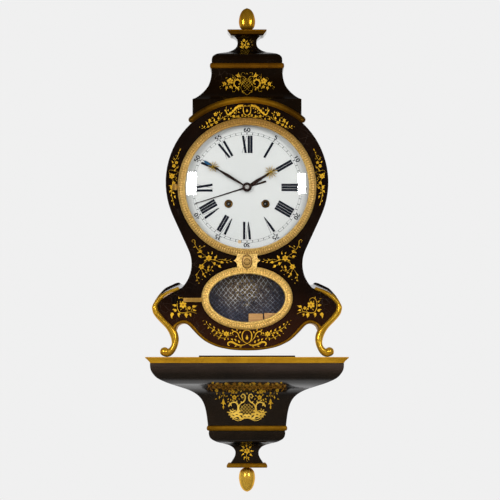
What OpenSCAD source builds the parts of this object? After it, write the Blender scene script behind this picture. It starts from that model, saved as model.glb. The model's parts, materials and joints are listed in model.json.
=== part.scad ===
// Waisted bracket clock on its own wall console: lacquered wood case, gilt
// mouldings and scroll feet, round enamel dial, oval pendulum window, and a
// spring-driven going and striking movement with a half-second pendulum.
// Millimetres. X runs to the right, Y into the wall, Z up. The origin is midway
// between the two wall hanger holes, on the wall plane.

/* [Console] */
// Half width of the console shelf at its gilt edge
shelf_half_w = 203; // [200:1:206]
// Height of the gilt edge of the shelf
shelf_edge_h = 12; // [10:1:14]
// Thickness of the raised board on the shelf
rest_board_h = 3; // [2:0.5:4]
// Distance between the two wall hanger holes
hanger_spacing = 180; // [160:2:200]
// Radius of each wall hanger hole
hanger_hole_r = 4; // [3:0.1:4.5]

/* [Case] */
// Radius of the round head of the case
head_r = 163; // [162:0.25:164]
// Thickness of the front panel
panel_t = 12; // [10:1:13]
// Radius of the dial opening in the front panel
dial_hole_r = 127; // [126.5:0.1:128]

/* [Front door] */
// Outside radius of the round bezel
bezel_r = 138.8; // [137:0.1:139]
// Inside radius of the round bezel
sight_r = 123.5; // [122:0.1:124]
// How far the dial glass domes forward
glass_rise = 18; // [15:1:24]

/* [Dial and hands] */
// Rise of the enamel dial at its centre
dial_rise = 7; // [5:0.5:8]
// Length of the minute hand from the centre
minute_len = 109; // [98:1:108]
// Length of the hour hand from the centre
hour_len = 72; // [66:1:76]
// Length of the alarm hand from the centre
alarm_len = 110; // [100:1:112]

/* [Pendulum] */
// Radius of the bob
bob_r = 25; // [20:0.5:27]
// Distance from the pivot to the centre of the bob
pendulum_len = 254; // [246:1:258]

/* [Movement] */
// Radius of each spring barrel
drum_r = 24; // [20:0.5:24]
// Side of each square winding end
key_square = 4.6; // [4:0.1:5]

/* [Hidden] */
$fn = 64;

// Every level below is measured from the top of the shelf, which lies this far
// above the hanger holes. Depths d are measured from the wall towards the room.
shelf_z = 40;
dial_z = 340;          // centre of the dial
oval_z = 118;          // centre of the pendulum window
d_back = 6;            // rear face of the back board
d_side = 14;           // rear ends of the sides
d_front = 150;         // face of the front panel
d_in = d_front - panel_t;
plate_b = [54, 57];    // back plate of the movement
plate_f = [118, 121];  // front plate of the movement
door_x = -143;         // hinge axis of the front door
door_d = 154.6;
bdoor_x = 76.5;        // hinge axis of the back door
bdoor_d = 3.2;
pivot_z = dial_z + 50; // pendulum and pallet axis

// Wheel centres, from the dial centre
barrel_at = [37, -33];
inter_at = [27.76, 3.63];
third_at = [-17.98, 19.33];
escape_at = [0, 32];
motion_at = [0, -19.2];
second_at = [-40.3, 4.66];
pin_at = [-49.88, 30.97];
fly_at = [-46.13, 52.24];
hammer_at = [-22, 52];

// ---------- curve helpers ----------
function arc(cx, cz, r, a0, a1, n) =
  [for (i = [0:n]) let (a = a0 + (a1 - a0) * i / n) [cx + r * cos(a), cz + r * sin(a)]];
function cr(a, b, c, d, t) = 0.5 * ((2 * b) + (c - a) * t + (2 * a - 5 * b + 4 * c - d) * t * t
  + (3 * b - a - 3 * c + d) * t * t * t);
function spline(P, k = 4) = let (n = len(P) - 1)
  [for (i = [0:n - 1]) for (j = [0:k - 1]) cr(P[max(i - 1, 0)], P[i], P[i + 1], P[min(i + 2, n)], j / k), P[n]];
function flip(L) = [for (i = [len(L) - 1:-1:0]) [-L[i][0], L[i][1]]];
function both(L) = concat(L, flip(L));
function oval(rx, rz, n = 72) = [for (i = [0:n - 1]) [rx * cos(i * 360 / n), rz * sin(i * 360 / n)]];
function swap(L, f) = [for (p = L) [f(p[0]), p[1]]];

// ---------- outlines, right half, top to bottom ----------
case_side = concat(
  arc(0, 350, head_r, 90, -24.6, 26),
  arc(179, 186, 68, 155.4, 227, 12),
  spline([[137, 134.2], [145, 130.5], [153, 126.5], [163, 120.5], [172, 113.5], [177.5, 107], [179.5, 101], [178, 94],
          [172, 85], [163, 74], [154, 64.5], [149, 60]], 3));
case_foot = spline([[149, 60], [144, 65.5], [138, 70], [131, 72.8], [125.6, 73.4], [119, 72], [111, 66.5],
          [101.6, 56], [88, 41.5], [74, 31.5], [53, 23], [27, 18.3], [0, 17]], 3);
case_line = both(concat(case_side, [for (i = [1:len(case_foot) - 1]) case_foot[i]]));
inner_side = concat(arc(0, 350, head_r - 8, 90, -24.6, 26), arc(179, 186, 76, 155.4, 216, 9),
  [[128, 131], [146, 119], [160, 109], [167, 101], [163, 92], [155, 83], [148, 77]]);
inner_foot = spline([[148, 77], [142, 80], [134, 82], [125.6, 82.4], [116, 80.5], [107, 74.5],
          [95, 62], [82, 49.5], [69, 40.5], [50, 32], [26, 26.8], [0, 25.4]], 3);

console_line = spline([[193.5, -12], [193, -22], [189.4, -31], [179.6, -42], [161.5, -51], [141, -58], [118, -66],
          [102.5, -74.5], [92, -85], [85.5, -99], [81.5, -117], [79, -138.5]], 3);
bowl_line = spline([[77, -149], [77, -157], [73, -165], [61, -171.8], [45, -176], [32, -181], [25.2, -188],
          [23.6, -194], [24.6, -201], [28.6, -208.4], [33.5, -215.5]], 3);
flare_line = spline([[108, 518], [102.5, 520.8], [94.4, 527], [86, 535.6], [78.4, 546.2], [74.4, 556.8], [72.4, 566.8],
          [71.8, 575.2], [72, 582.4]], 3);
dome_line = spline([[71.2, 593.8], [71.3, 600.6], [69.2, 607.6], [62, 613], [50.4, 616.5], [37.6, 619.7], [27.6, 624.8],
          [21.2, 631.4], [19.3, 638.8], [20.3, 646.2], [25.3, 651.7], [30.4, 654]], 3);
foot_line = spline([[134.5, 141], [140, 139.4], [151, 135.9], [163, 130.4], [177, 119.6], [187, 107.6], [190, 97.5], [185, 84],
          [172, 70], [161, 57], [154, 44], [150.6, 31], [152.4, 21.5], [157, 18.3], [163, 19.4], [169.5, 18],
          [173, 12], [171.5, 5.5], [166, 1.2], [157, 0], [149.5, 4.2], [143.5, 12], [139, 22.5], [136.8, 34],
          [137.4, 46], [140.5, 58], [146, 70], [156, 84], [165, 96], [163, 108], [150, 118], [138, 127],
          [130.5, 135]], 3);
rear_foot_line = spline([[129.5, 157], [138, 153.4], [149, 148.4], [159, 142.8], [173, 132.4], [182, 123.8], [190.4, 110.6], [193.5, 99], [189, 85],
          [176, 70], [164, 57], [157, 44], [153.4, 31], [155, 22], [159.6, 18.8], [166, 19.6], [172.4, 18],
          [176, 12], [174.5, 5.5], [169, 1.2], [160, 0], [152.5, 4.2], [146.5, 12], [142.3, 22.5], [140.2, 34],
          [140.8, 46], [144, 58], [149.5, 70], [158, 84], [165, 96], [163, 108], [150, 118], [138, 127],
          [128, 138], [123, 147]], 3);
apron_low = spline([[143.4, 54.5], [140.2, 61.6], [134, 66.6], [126.4, 67.6], [119.4, 65], [112.6, 59], [104, 49.5],
          [92, 38], [80, 29.5], [62, 21.3], [40, 15.8], [20, 13.8], [0, 13.2]], 3);
apron_line = both(concat([[142, 82], [147, 66]], apron_low));

// ---------- placing helpers ----------
// a drawing in X and Z, made solid from depth d0 to depth d1
module xz(d0, d1) { translate([0, -d0, shelf_z]) rotate([90, 0, 0]) linear_extrude(d1 - d0) children(); }
// a drawing in depth and Z, made solid across the width from -w to w
module dz(w) { translate([-w, 0, shelf_z]) rotate([90, 0, -90]) mirror([0, 0, 1]) linear_extrude(2 * w) children(); }
// a round bar along the depth at x, z
module bar(x, z, r, d0, d1) { translate([x, -d0, z + shelf_z]) rotate([90, 0, 0]) cylinder(h = d1 - d0, r = r); }
module peg(x, d, z, r, h) { translate([x, -d, z + shelf_z]) cylinder(h = h, r = r); }
module block(x0, x1, d0, d1, z0, z1) { translate([x0, -d1, z0 + shelf_z]) cube([x1 - x0, d1 - d0, z1 - z0]); }
module lathe(x, d, z) { translate([x, -d, z + shelf_z]) rotate_extrude() children(); }
// a ring turned on the depth axis at x, z: children are drawn as radius, depth
module spun(x, z) { translate([x, 0, z + shelf_z]) rotate([90, 0, 0]) rotate_extrude($fn = 96) children(); }

// a block whose half width follows a line and whose front follows it too
module stepped(L, d0, front) {
  zmin = min([for (p = L) p[1]]);
  zmax = max([for (p = L) p[1]]);
  intersection() {
    xz(d0, 200) polygon(both(L));
    dz(230) polygon(concat([[d0, L[0][1]]], swap(L, front), [[d0, L[len(L) - 1][1]]]));
  }
}
console_front = function (w) 25.9 + 0.72 * w;
hood_front = function (w) 35.4 + w;

module case_2d() { polygon(case_line); }

// ---------- console ----------
module hanger_holes(r, d0, d1) { for (s = [-1, 1]) bar(s * hanger_spacing / 2, -shelf_z, r, d0, d1); }
module console_back() {
  color("#1b1512") difference() {
    xz(0, 10) polygon(both(console_line));
    for (s = [-1, 1]) block(s * hanger_spacing / 2 - 11, s * hanger_spacing / 2 + 11, -1, 2, -shelf_z - 15, -shelf_z + 15);
    hanger_holes(8, 1, 11);
    for (s = [-1, 1], q = [-1, 1]) bar(s * hanger_spacing / 2, -shelf_z + q * 12, 1.5, -1, 8);
  }
}
module console_shell() {
  color("#1b1512") difference() {
    stepped(console_line, 10, console_front);
    intersection() {
      xz(9, 200) polygon(concat([for (p = both(console_line)) [p[0] - sign(p[0]) * 9, p[1] + (p[1] > -12.5 ? 1 : 0) - (p[1] < -138 ? 1 : 0)]]));
      dz(230) polygon(concat([[9, -11]], [for (p = console_line) [console_front(p[0]) - 9, p[1] + (p[1] > -12.5 ? 1 : 0) - (p[1] < -138 ? 1 : 0)]], [[9, -139.5]]));
    }
  }
}
module console_top() {
  color("#1b1512") {
    block(-182, 182, 0, console_front(182), -shelf_edge_h, 0);
    block(-96, 96, 150, 163, 0, rest_board_h);
  }
}
// the gilt edge, mitred round three sides of the shelf
module console_top_moulding() {
  w = shelf_half_w;
  color("#b5852b") difference() {
    stepped([[w - 9.5, -shelf_edge_h], [w - 7.6, -8.6], [w - 2.2, -3.6], [w, -1.8], [w, 0]], 0, console_front);
    block(-182, 182, -1, console_front(182), -20, 2);
  }
}
module console_mid_moulding() {
  color("#b5852b") stepped([[77, -149], [79.5, -148.4], [81, -146.4], [81.5, -143.8], [81, -141.2], [79.5, -139.1], [77, -138.5]], 0, console_front);
}
module console_bowl() { color("#1b1512") stepped(bowl_line, 0, console_front); }
module console_base_plate() {
  color("#b5852b") stepped([[39.6, -224.5], [41.2, -223.5], [41.2, -220.4], [38.6, -216.5], [37.4, -215.5]], 0, console_front);
}
module egg(z0, h, r, up) {
  P = spline([[4.5, 0], [5, 1], [8.5, 2.2], [r * 0.86, h * 0.16], [r, h * 0.36], [r * 0.97, h * 0.54], [r * 0.80, h * 0.76],
              [r * 0.45, h * 0.93], [0.01, h]], 3);
  translate([0, -finial_d(up), z0 + shelf_z]) mirror([0, 0, up ? 0 : 1]) rotate_extrude() polygon(concat([[0, 0]], P));
}
function finial_d(up) = up ? 38 : 23;
module console_drop() { color("#c8952f") egg(-224.5, 50, 16.4, false); }
module hanger_plates() {
  color("#b59a55") difference() {
    for (s = [-1, 1]) block(s * hanger_spacing / 2 - 10.8, s * hanger_spacing / 2 + 10.8, 0, 2, -shelf_z - 14.8, -shelf_z + 14.8);
    hanger_holes(hanger_hole_r, -1, 3);
    for (s = [-1, 1], q = [-1, 1]) bar(s * hanger_spacing / 2, -shelf_z + q * 12, 1.5, -1, 3);
  }
  // countersunk steel screws
  color("#8d8d92") for (s = [-1, 1], q = [-1, 1]) bar(s * hanger_spacing / 2, -shelf_z + q * 12, 1.45, 0.2, 7.8);
}

// ---------- case ----------
module front_panel() {
  color("#1b1110") xz(d_in, d_front) difference() {
    case_2d();
    translate([0, dial_z]) circle(r = dial_hole_r, $fn = 96);
    translate([0, oval_z]) polygon(oval(79, 51));
  }
}
module side_half(s) {
  mirror([s < 0 ? 1 : 0, 0, 0]) color("#1b1110") xz(d_side, d_in)
    polygon(concat(case_side, [for (i = [len(inner_side) - 1:-1:0]) inner_side[i]]));
}
module side_left() { side_half(-1); }
module side_right() { side_half(1); }
module floor_board() {
  outer = both([for (i = [0:len(case_foot) - 1]) case_foot[i]]);
  inner = both([for (i = [0:len(inner_foot) - 1]) inner_foot[i]]);
  color("#1b1110") xz(d_side, d_in) polygon(concat(outer, [for (i = [len(inner) - 1:-1:0]) inner[i]]));
}
module back_board() {
  color("#5a4028") difference() {
    xz(d_back, d_side) case_2d();
    block(-75, 75, 0, 20, 205, 435);
  }
  // fixed halves of the back door hinges
  color("#b59a55") for (z = [250, 390]) {
    block(bdoor_x + 1.9, bdoor_x + 14, 5, 6, z - 15, z + 15);
    for (q = [-15, 6.2]) {
      difference() {
        union() {
          peg(bdoor_x, bdoor_d, z + q, 2.4, 8.8);
          block(bdoor_x, bdoor_x + 4, 3.4, 5, z + q, z + q + 8.8);
        }
        peg(bdoor_x, bdoor_d, z + q - 1, 1.2, 12);
      }
    }
    peg(bdoor_x, bdoor_d, z - 15, 1.2, 30);
  }
  // stud of the turn button
  color("#b59a55") bar(-86, 320, 1.8, 1.2, 6);
}
module apron_moulding() {
  color("#b5852b") xz(d_back, d_front + 2.5) difference() {
    polygon(apron_line);
    case_2d();
    polygon(foot_line);
    mirror([1, 0]) polygon(foot_line);
    polygon(rear_foot_line);
    mirror([1, 0]) polygon(rear_foot_line);
  }
}
module foot_pair(L, d0, d1) {
  for (s = [0, 1]) mirror([s, 0, 0]) xz(d0, d1) difference() {
    intersection() { polygon(L); translate([100, 0]) square([120, 200]); }
    case_2d();
  }
}
module front_feet() { color("#c8952f") foot_pair(foot_line, 124, 158); }
module rear_feet() { color("#c8952f") foot_pair(rear_foot_line, d_back, 32); }
module arch_2d() {
  difference() {
    union() {
      intersection() {
        translate([0, dial_z]) circle(r = 181, $fn = 128);
        polygon([[0, dial_z], [200 * tan(39.4), dial_z + 200], [-200 * tan(39.4), dial_z + 200]]);
      }
      for (s = [-1, 1]) translate([s * 175 * sin(39.4), dial_z + 175 * cos(39.4)]) circle(r = 6);
    }
    translate([0, dial_z]) circle(r = 169, $fn = 128);
  }
}
module arch_moulding() {
  color("#b5852b") {
    difference() {
      xz(144, 157) arch_2d();
      xz(143, d_front) case_2d();
    }
  }
}
module hood_block() {
  color("#1b1110") xz(d_back, 144) difference() {
    translate([-109.4, 462]) square([218.8, 56]);
    case_2d();
  }
}
module hood_flare() { color("#1b1110") stepped(flare_line, d_back, hood_front); }
module hood_moulding() {
  color("#b5852b") stepped([[71.4, 582.4], [73.7, 583], [74.9, 585.7], [75.1, 588], [74.7, 590.6], [73.5, 593.2], [71.2, 593.8]], d_back, hood_front);
}
module hood_dome() { color("#1b1110") stepped(dome_line, d_back, hood_front); }
module hood_cap() {
  color("#b5852b") stepped([[32.4, 654], [33.4, 654.4], [35.8, 657.8], [38.3, 661], [39.7, 662.3], [39.7, 665.2]], d_back, hood_front);
}
module hood_finial() { color("#c8952f") egg(665.2, 47.6, 16.6, true); }

// net behind the pendulum window, on a thin wooden frame
module net_screen() {
  color("#3a3f52") {
    xz(118.5, 120.5) difference() { translate([-88, 61]) square([176, 117]); translate([-80, 66.5]) square([160, 104.5]); }
    xz(120.5, 121.5) difference() {
      translate([-88, 61]) square([176, 117]);
      for (i = [-9:9], j = [-6:6]) if ((i + j) % 2 == 0)
        translate([i * 9, 119 + j * 9]) polygon([[8, 0], [0, 8], [-8, 0], [0, -8]]);
    }
  }
}
module screen_blocks() {
  color("#c79a68") {
    block(3, 32, 121.5, d_in, 61, 87);
    block(34.5, 62, 121.5, d_in, 61, 88);
    for (s = [-1, 1]) block(s * 83 - 4, s * 83 + 4, 121.5, d_in, 162, 177);
  }
}
// fixed halves of the two front door hinges
module hinge_lugs() {
  color("#c9a552") for (z = [340, 114]) difference() {
    union() {
      block(-149.5, -139.5, d_front, d_front + 1, z - 6, z + 6);
      for (q = [-6, 3.2]) {
        peg(door_x, door_d, z + q, 3.2, 2.8);
        block(-146.2, -139.8, d_front, door_d, z + q, z + q + 2.8);
      }
      peg(door_x, door_d, z - 6, 1.4, 12);
    }
  }
}

// ---------- dial ----------
function dial_d(r) = 142 - dial_rise * r * r / (125.5 * 125.5);
module dial_plate() {
  T = [for (i = [0:12]) 7 + (125.5 - 7) * i / 12];
  color("#f3f1ec") difference() {
    spun(0, dial_z) polygon(concat([for (r = T) [r, dial_d(r)]], [for (i = [12:-1:0]) [T[i], dial_d(T[i]) - 2]]));
    for (s = [-1, 1]) bar(s * barrel_at[0], dial_z + barrel_at[1], 7, 120, 150);
  }
}
module winding_collets() {
  dd = dial_d(49.6);
  color("#a9792f") for (s = [-1, 1]) spun(s * barrel_at[0], dial_z + barrel_at[1])
    polygon([[5, dd - 3], [6.95, dd - 3], [6.95, dd + 0.4], [8.4, dd + 0.4], [8.4, dd + 0.9], [7.2, dd + 1.6], [5, dd + 1.2]]);
}

// ---------- movement, fixed parts ----------
arbors = [[[0, 0], 2.6], [inter_at, 1.55], [third_at, 1.55], [escape_at, 1.55], [second_at, 1.55],
          [pin_at, 1.55], [fly_at, 1.55], [hammer_at, 1.55], [[0, 50], 1.55],
          [barrel_at, 4.06], [[-barrel_at[0], barrel_at[1]], 4.06]];
module plate_2d() {
  translate([-74, dial_z - 70]) square([148, 132]);
}
module movement_plates() {
  color("#c2a25a") for (p = [plate_b, plate_f]) xz(p[0], p[1]) difference() {
    plate_2d();
    for (a = arbors) translate([a[0][0], a[0][1] + dial_z]) circle(r = a[1], $fn = 32);
  }
}
pillar_xy = [[-67, -63], [67, -63], [-67, 55], [67, 55]];
module movement_frame() {
  color("#8d8d92") {
    // turned pillars
    for (p = pillar_xy) spun(p[0], dial_z + p[1])
      polygon([[0, 57], [5, 57], [5, 62], [3.4, 64], [3.4, 84], [4.6, 87.5], [3.4, 91], [3.4, 111], [5, 113], [5, 118], [0, 118]]);
    // iron cross bars that carry the movement on the back of the panel
    for (q = [-56, 51]) {
      block(-126, 126, 121, 124, dial_z + q - 5, dial_z + q + 5);
      for (s = [-1, 1]) bar(s * 121, dial_z + q * 1.0, 4.5, 124, d_in);
    }
    // dial feet
    for (p = [[-57, 30], [57, 30], [0, -44]]) bar(p[0], dial_z + p[1], 2.4, 121, dial_d(norm(p)) - 2.3);
    // minute wheel stud
    bar(motion_at[0], dial_z + motion_at[1], 1.5, 121, 130);
  }
}
module suspension_cock() {
  color("#c2a25a") {
    xz(48, 54) difference() {
      polygon([[-16, pivot_z + 4], [16, pivot_z + 4], [16, pivot_z + 12], [-16, pivot_z + 12]]);
      for (s = [-1, 1]) translate([s * 12, pivot_z + 8]) circle(r = 1.6);
    }
    block(-5, 5, 32, 48, pivot_z + 6, pivot_z + 12);
    block(-5, 5, 32, 35, pivot_z - 3, pivot_z + 6);
    bar(0, pivot_z, 1.4, 35, 45);
  }
  color("#8d8d92") for (s = [-1, 1]) bar(s * 12, pivot_z + 8, 1.55, 45.5, 54);
}
module strike_bell() {
  P = [[3, 446], [3, 447.6], [16, 447], [27, 443.5], [33, 436], [35.4, 426], [37, 418.5], [35.2, 418.5], [33.6, 426], [31.4, 435], [26, 441.6], [15, 445.3]];
  color("#d8c48a") lathe(0, 76, 0) polygon(P);
  // standard on a bridge across the tops of the plates, and its nut
  color("#8d8d92") {
    block(-7, 7, plate_b[0], plate_f[1], 402, 405);
    peg(0, 76, 405, 2.9, 43);
    peg(0, 76, 448, 6, 4);
  }
}

// ---------- front door ----------
module bezel_frame() {
  color("#c9a552") {
    difference() {
      union() {
        spun(0, dial_z) polygon([[sight_r + 2.6, 150.4], [bezel_r, 150.4], [bezel_r, 153], [bezel_r - 1.6, 157], [bezel_r - 5, 159.6],
          [sight_r + 5, 160], [sight_r + 1.5, 158.6], [sight_r, 156.5], [sight_r, 154.7], [sight_r + 2.6, 154.7]]);
        xz(150.4, 159) difference() {
          translate([0, oval_z]) polygon(oval(91, 63.3));
          translate([0, oval_z]) polygon(oval(76, 47.8));
        }
        xz(150.4, 157.5) difference() {
          polygon(both([[22, 207], [20, 199.5], [27, 192.6], [19.5, 184], [19.5, 176]]));
          translate([0, dial_z]) circle(r = bezel_r - 6);
          translate([0, oval_z]) polygon(oval(80, 55));
        }
        xz(151, 154) translate([-126.4, 109.8]) square([38, 8.4]);
        xz(151.6, 153.8) translate([-143, 112]) square([20, 4]);
        block(-143, -136.5, 153.2, 156, 337.2, 342.8);
        for (z = [340, 114]) peg(door_x, door_d, z - 2.8, 3.2, 5.6);
      }
      xz(150, 154.2) translate([0, oval_z]) polygon(oval(79, 50.8));
      for (z = [340, 114]) peg(door_x, door_d, z - 9, 1.46, 18);
    }
  }
}
module dial_glass() {
  R = (125.8 * 125.8 + glass_rise * glass_rise) / (2 * glass_rise);
  A = [for (i = [0:14]) 125.8 * i / 14];
  color([0.9, 0.95, 1, 0.3]) spun(0, dial_z)
    polygon(concat([for (r = A) [r, 154 + sqrt(R * R - r * r) - R + glass_rise]], [for (i = [14:-1:0]) [A[i], 152 + sqrt(R * R - A[i] * A[i]) - R + glass_rise]]));
}
module window_glass() { color([0.9, 0.95, 1, 0.3]) xz(151.4, 153.6) translate([0, oval_z]) polygon(oval(78.6, 50.4)); }
module rosette() {
  color("#a9792f") {
    xz(157.5, 159) difference() {
      translate([0, 190.4]) polygon([[0, 18.6], [4.5, 12.5], [8.5, 11], [10.3, 0], [8.5, -9], [4.5, -12.5], [0, -18], [-4.5, -12.5], [-8.5, -9], [-10.3, 0], [-8.5, 11], [-4.5, 12.5]]);
      translate([0, dial_z]) circle(r = bezel_r + 0.2, $fn = 128);
      translate([0, oval_z]) polygon(oval(91.2, 63.5));
    }
    spun(0, 190.4) polygon([[0, 159], [7.8, 159], [7.8, 160], [6.6, 161], [5.4, 160.4], [4.6, 160.6], [2.6, 162.2], [0, 162.6]]);
  }
}

// ---------- back door ----------
module back_door() {
  color("#5a4028") block(-74.2, 74.2, d_back, 13, 205.8, 434.2);
  color("#b59a55") for (z = [250, 390]) difference() {
    union() {
      block(62, bdoor_x - 1.9, 5, 6, z - 14, z + 14);
      peg(bdoor_x, bdoor_d, z - 6, 2.4, 12);
      block(bdoor_x - 4, bdoor_x, 3.4, 5, z - 6, z + 6);
    }
    peg(bdoor_x, bdoor_d, z - 20, 1.25, 40);
  }
}
module back_door_button() {
  color("#c9a552") xz(2.4, 5) difference() {
    union() {
      translate([-86, 320]) circle(r = 5);
      translate([-89, 305]) square([6, 30]);
      for (q = [305, 335]) translate([-86, q]) circle(r = 3);
    }
    translate([-86, 320]) circle(r = 1.85);
  }
}

// ---------- wheels ----------
function tooth(a, n, m, add, ded, w) = let (r = m * n / 2, p = 360 / n, k = 180 / PI)
  [for (q = [[-w * 0.62 * p, r - ded * m], [-w * 0.5 * p, r], [-w * 0.20 * p, r + add * m], [w * 0.20 * p, r + add * m], [w * 0.5 * p, r], [w * 0.62 * p, r - ded * m]])
    [q[1] * cos(a + q[0]), q[1] * sin(a + q[0])]];
function wheel_pts(n, m, ph, add, ded, w) = [for (i = [0:n - 1]) each tooth(ph + i * 360 / n, n, m, add, ded, w)];
module wheel_2d(at, n, m, ph, spokes = 0) {
  translate([at[0], at[1] + dial_z]) difference() {
    polygon(wheel_pts(n, m, ph, 0.75, 1.1, 0.44));
    if (spokes > 0) for (i = [0:spokes - 1]) rotate(i * 360 / spokes) spoke_gap(m * n / 2, spokes);
  }
}
module spoke_gap(r, k) {
  g = 180 / k - 9;
  polygon(concat(arc(0, 0, r - 1.1 * r / 10 - 3, -g, g, 8), arc(0, 0, r * 0.32 + 1.5, g * 0.6, -g * 0.6, 3)));
}
module pinion_2d(at, n, m, ph) { translate([at[0], at[1] + dial_z]) polygon(wheel_pts(n, m, ph, 0.7, 1.2, 0.36)); }
function bearing(a, b) = atan2(b[1] - a[1], b[0] - a[0]);
C0 = [0, 0];
strike_barrel_at = [-barrel_at[0], barrel_at[1]];

module drum(at, ph) {
  // shell with two caps and a hollow for the mainspring, great wheel in front
  spun(at[0], at[1] + dial_z) polygon([[4.15, 64], [drum_r, 64], [drum_r, 96.5], [4.15, 96.5], [4.15, 94.5], [drum_r - 1.6, 94.5], [drum_r - 1.6, 66], [4.15, 66]]);
  xz(96.5, 99.5) difference() {
    wheel_2d(at, 72, 0.9, ph);
    translate([at[0], at[1] + dial_z]) circle(r = 4.15);
  }
}
module going_barrel() { color("#c2a25a") drum(barrel_at, bearing(barrel_at, inter_at)); }
module strike_barrel() { color("#c2a25a") drum(strike_barrel_at, bearing(strike_barrel_at, second_at)); }
module winding_arbor(at) {
  bar(at[0], at[1] + dial_z, 4, 54, 126);
  xz(126, 139.4) translate([at[0] - key_square / 2, at[1] + dial_z - key_square / 2]) square(key_square);
  // ratchet wheel on the face of the front plate
  xz(122, 124) translate([at[0], at[1] + dial_z]) polygon([for (i = [0:23]) each [[11.6 * cos(i * 15), 11.6 * sin(i * 15)], [10 * cos(i * 15 + 2), 10 * sin(i * 15 + 2)]]]);
}
module going_winding_arbor() { color("#8d8d92") winding_arbor(barrel_at); }
module strike_winding_arbor() { color("#8d8d92") winding_arbor(strike_barrel_at); }
module intermediate_wheel() {
  color("#c2a25a") {
    bar(inter_at[0], inter_at[1] + dial_z, 1.5, 54, 121);
    xz(94.8, 101) pinion_2d(inter_at, 12, 0.9, bearing(inter_at, barrel_at) + 15);
    xz(106, 108) wheel_2d(inter_at, 60, 0.8, bearing(inter_at, C0), 5);
  }
}
module centre_wheel() {
  color("#c2a25a") {
    bar(0, dial_z, 2.5, 54, 121);
    bar(0, dial_z, 1.9, 121, 154);
    xz(104.5, 109.5) pinion_2d(C0, 10, 0.8, bearing(C0, inter_at) + 18);
    xz(76, 78) wheel_2d(C0, 80, 0.6, bearing(C0, third_at), 5);
    xz(123, 125.6) pinion_2d(C0, 12, 0.8, bearing(C0, motion_at));
  }
}
module minute_wheel() {
  color("#c2a25a") difference() {
    union() {
      xz(123.2, 125.2) wheel_2d(motion_at, 36, 0.8, bearing(motion_at, C0) + 5);
      xz(125.2, 129.2) pinion_2d(motion_at, 10, 0.768, bearing(motion_at, C0));
    }
    bar(motion_at[0], dial_z + motion_at[1], 1.56, 120, 132);
  }
}
module hour_wheel() {
  color("#c2a25a") difference() {
    union() {
      xz(126.6, 128.6) wheel_2d(C0, 40, 0.768, bearing(C0, motion_at) + 4.5);
      bar(0, dial_z, 3.6, 126.6, 147);
    }
    bar(0, dial_z, 1.96, 120, 150);
  }
}
module third_wheel() {
  color("#c2a25a") {
    bar(third_at[0], third_at[1] + dial_z, 1.5, 54, 121);
    xz(74.8, 79.2) pinion_2d(third_at, 8, 0.6, bearing(third_at, C0) + 22.5);
    xz(68, 69.6) wheel_2d(third_at, 80, 0.5, bearing(third_at, escape_at), 5);
  }
}
module escape_wheel() {
  color("#c2a25a") {
    bar(0, escape_at[1] + dial_z, 1.5, 54, 121);
    xz(66.6, 71) pinion_2d(escape_at, 8, 0.5, bearing(escape_at, third_at) + 22.5);
    xz(60, 61.4) translate([0, escape_at[1] + dial_z]) difference() {
      polygon([for (i = [0:35]) each [[15 * cos(i * 10), 15 * sin(i * 10)], [12.4 * cos(i * 10 + 1.5), 12.4 * sin(i * 10 + 1.5)],
                                      [12.4 * cos(i * 10 + 6.5), 12.4 * sin(i * 10 + 6.5)]]]);
      for (i = [0:3]) rotate(45 + i * 90) translate([7.4, 0]) circle(r = 2.6);
    }
  }
}
module pallet_anchor() {
  color("#8d8d92") {
    bar(0, pivot_z, 1.5, 47.2, 121);
    xz(59.6, 61.8) {
      translate([0, escape_at[1] + dial_z]) polygon(concat(arc(0, 0, 15.75, 52, 128, 20), arc(0, 0, 18, 128, 52, 20)));
      translate([0, pivot_z]) circle(r = 2.2);
    }
    // crutch with its fork about the rod
    xz(50, 51.4) {
      translate([0, pivot_z]) circle(r = 3.2);
      translate([-1.6, pivot_z - 62]) square([3.2, 60]);
      translate([-6, pivot_z - 64]) square([12, 3]);
    }
    for (s = [-1, 1]) block(s > 0 ? 2.3 : -4.3, s > 0 ? 4.3 : -2.3, 36.5, 51.4, pivot_z - 64, pivot_z - 61);
  }
}

// ---------- pendulum ----------
module pendulum_rod() {
  color("#c2a25a") {
    xz(38.6, 41.4) {
      difference() { translate([0, pivot_z]) circle(r = 4.2); translate([0, pivot_z]) circle(r = 1.5); }
      translate([-1.5, pivot_z - 60]) square([3, 56.3]);
    }
    peg(0, 40, pivot_z - pendulum_len - bob_r - 16, 1.5, pendulum_len + bob_r - 43);
  }
}
module pendulum_bob() {
  z = pivot_z - pendulum_len;
  color("#c9a552") difference() {
    spun(0, z) polygon([[0, 33], [6, 33.2], [bob_r * 0.6, 35], [bob_r * 0.9, 37.6], [bob_r, 39.4], [bob_r, 40.6], [bob_r * 0.9, 42.4], [bob_r * 0.6, 45], [6, 46.8], [0, 47]]);
    peg(0, 40, z - bob_r - 5, 1.56, 2 * bob_r + 10);
  }
}
module rating_nut() {
  z = pivot_z - pendulum_len - bob_r;
  color("#c9a552") difference() {
    union() { peg(0, 40, z - 7, 5.5, 4); peg(0, 40, z - 3, 3, 2.8); }
    peg(0, 40, z - 9, 1.56, 12);
  }
}

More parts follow.
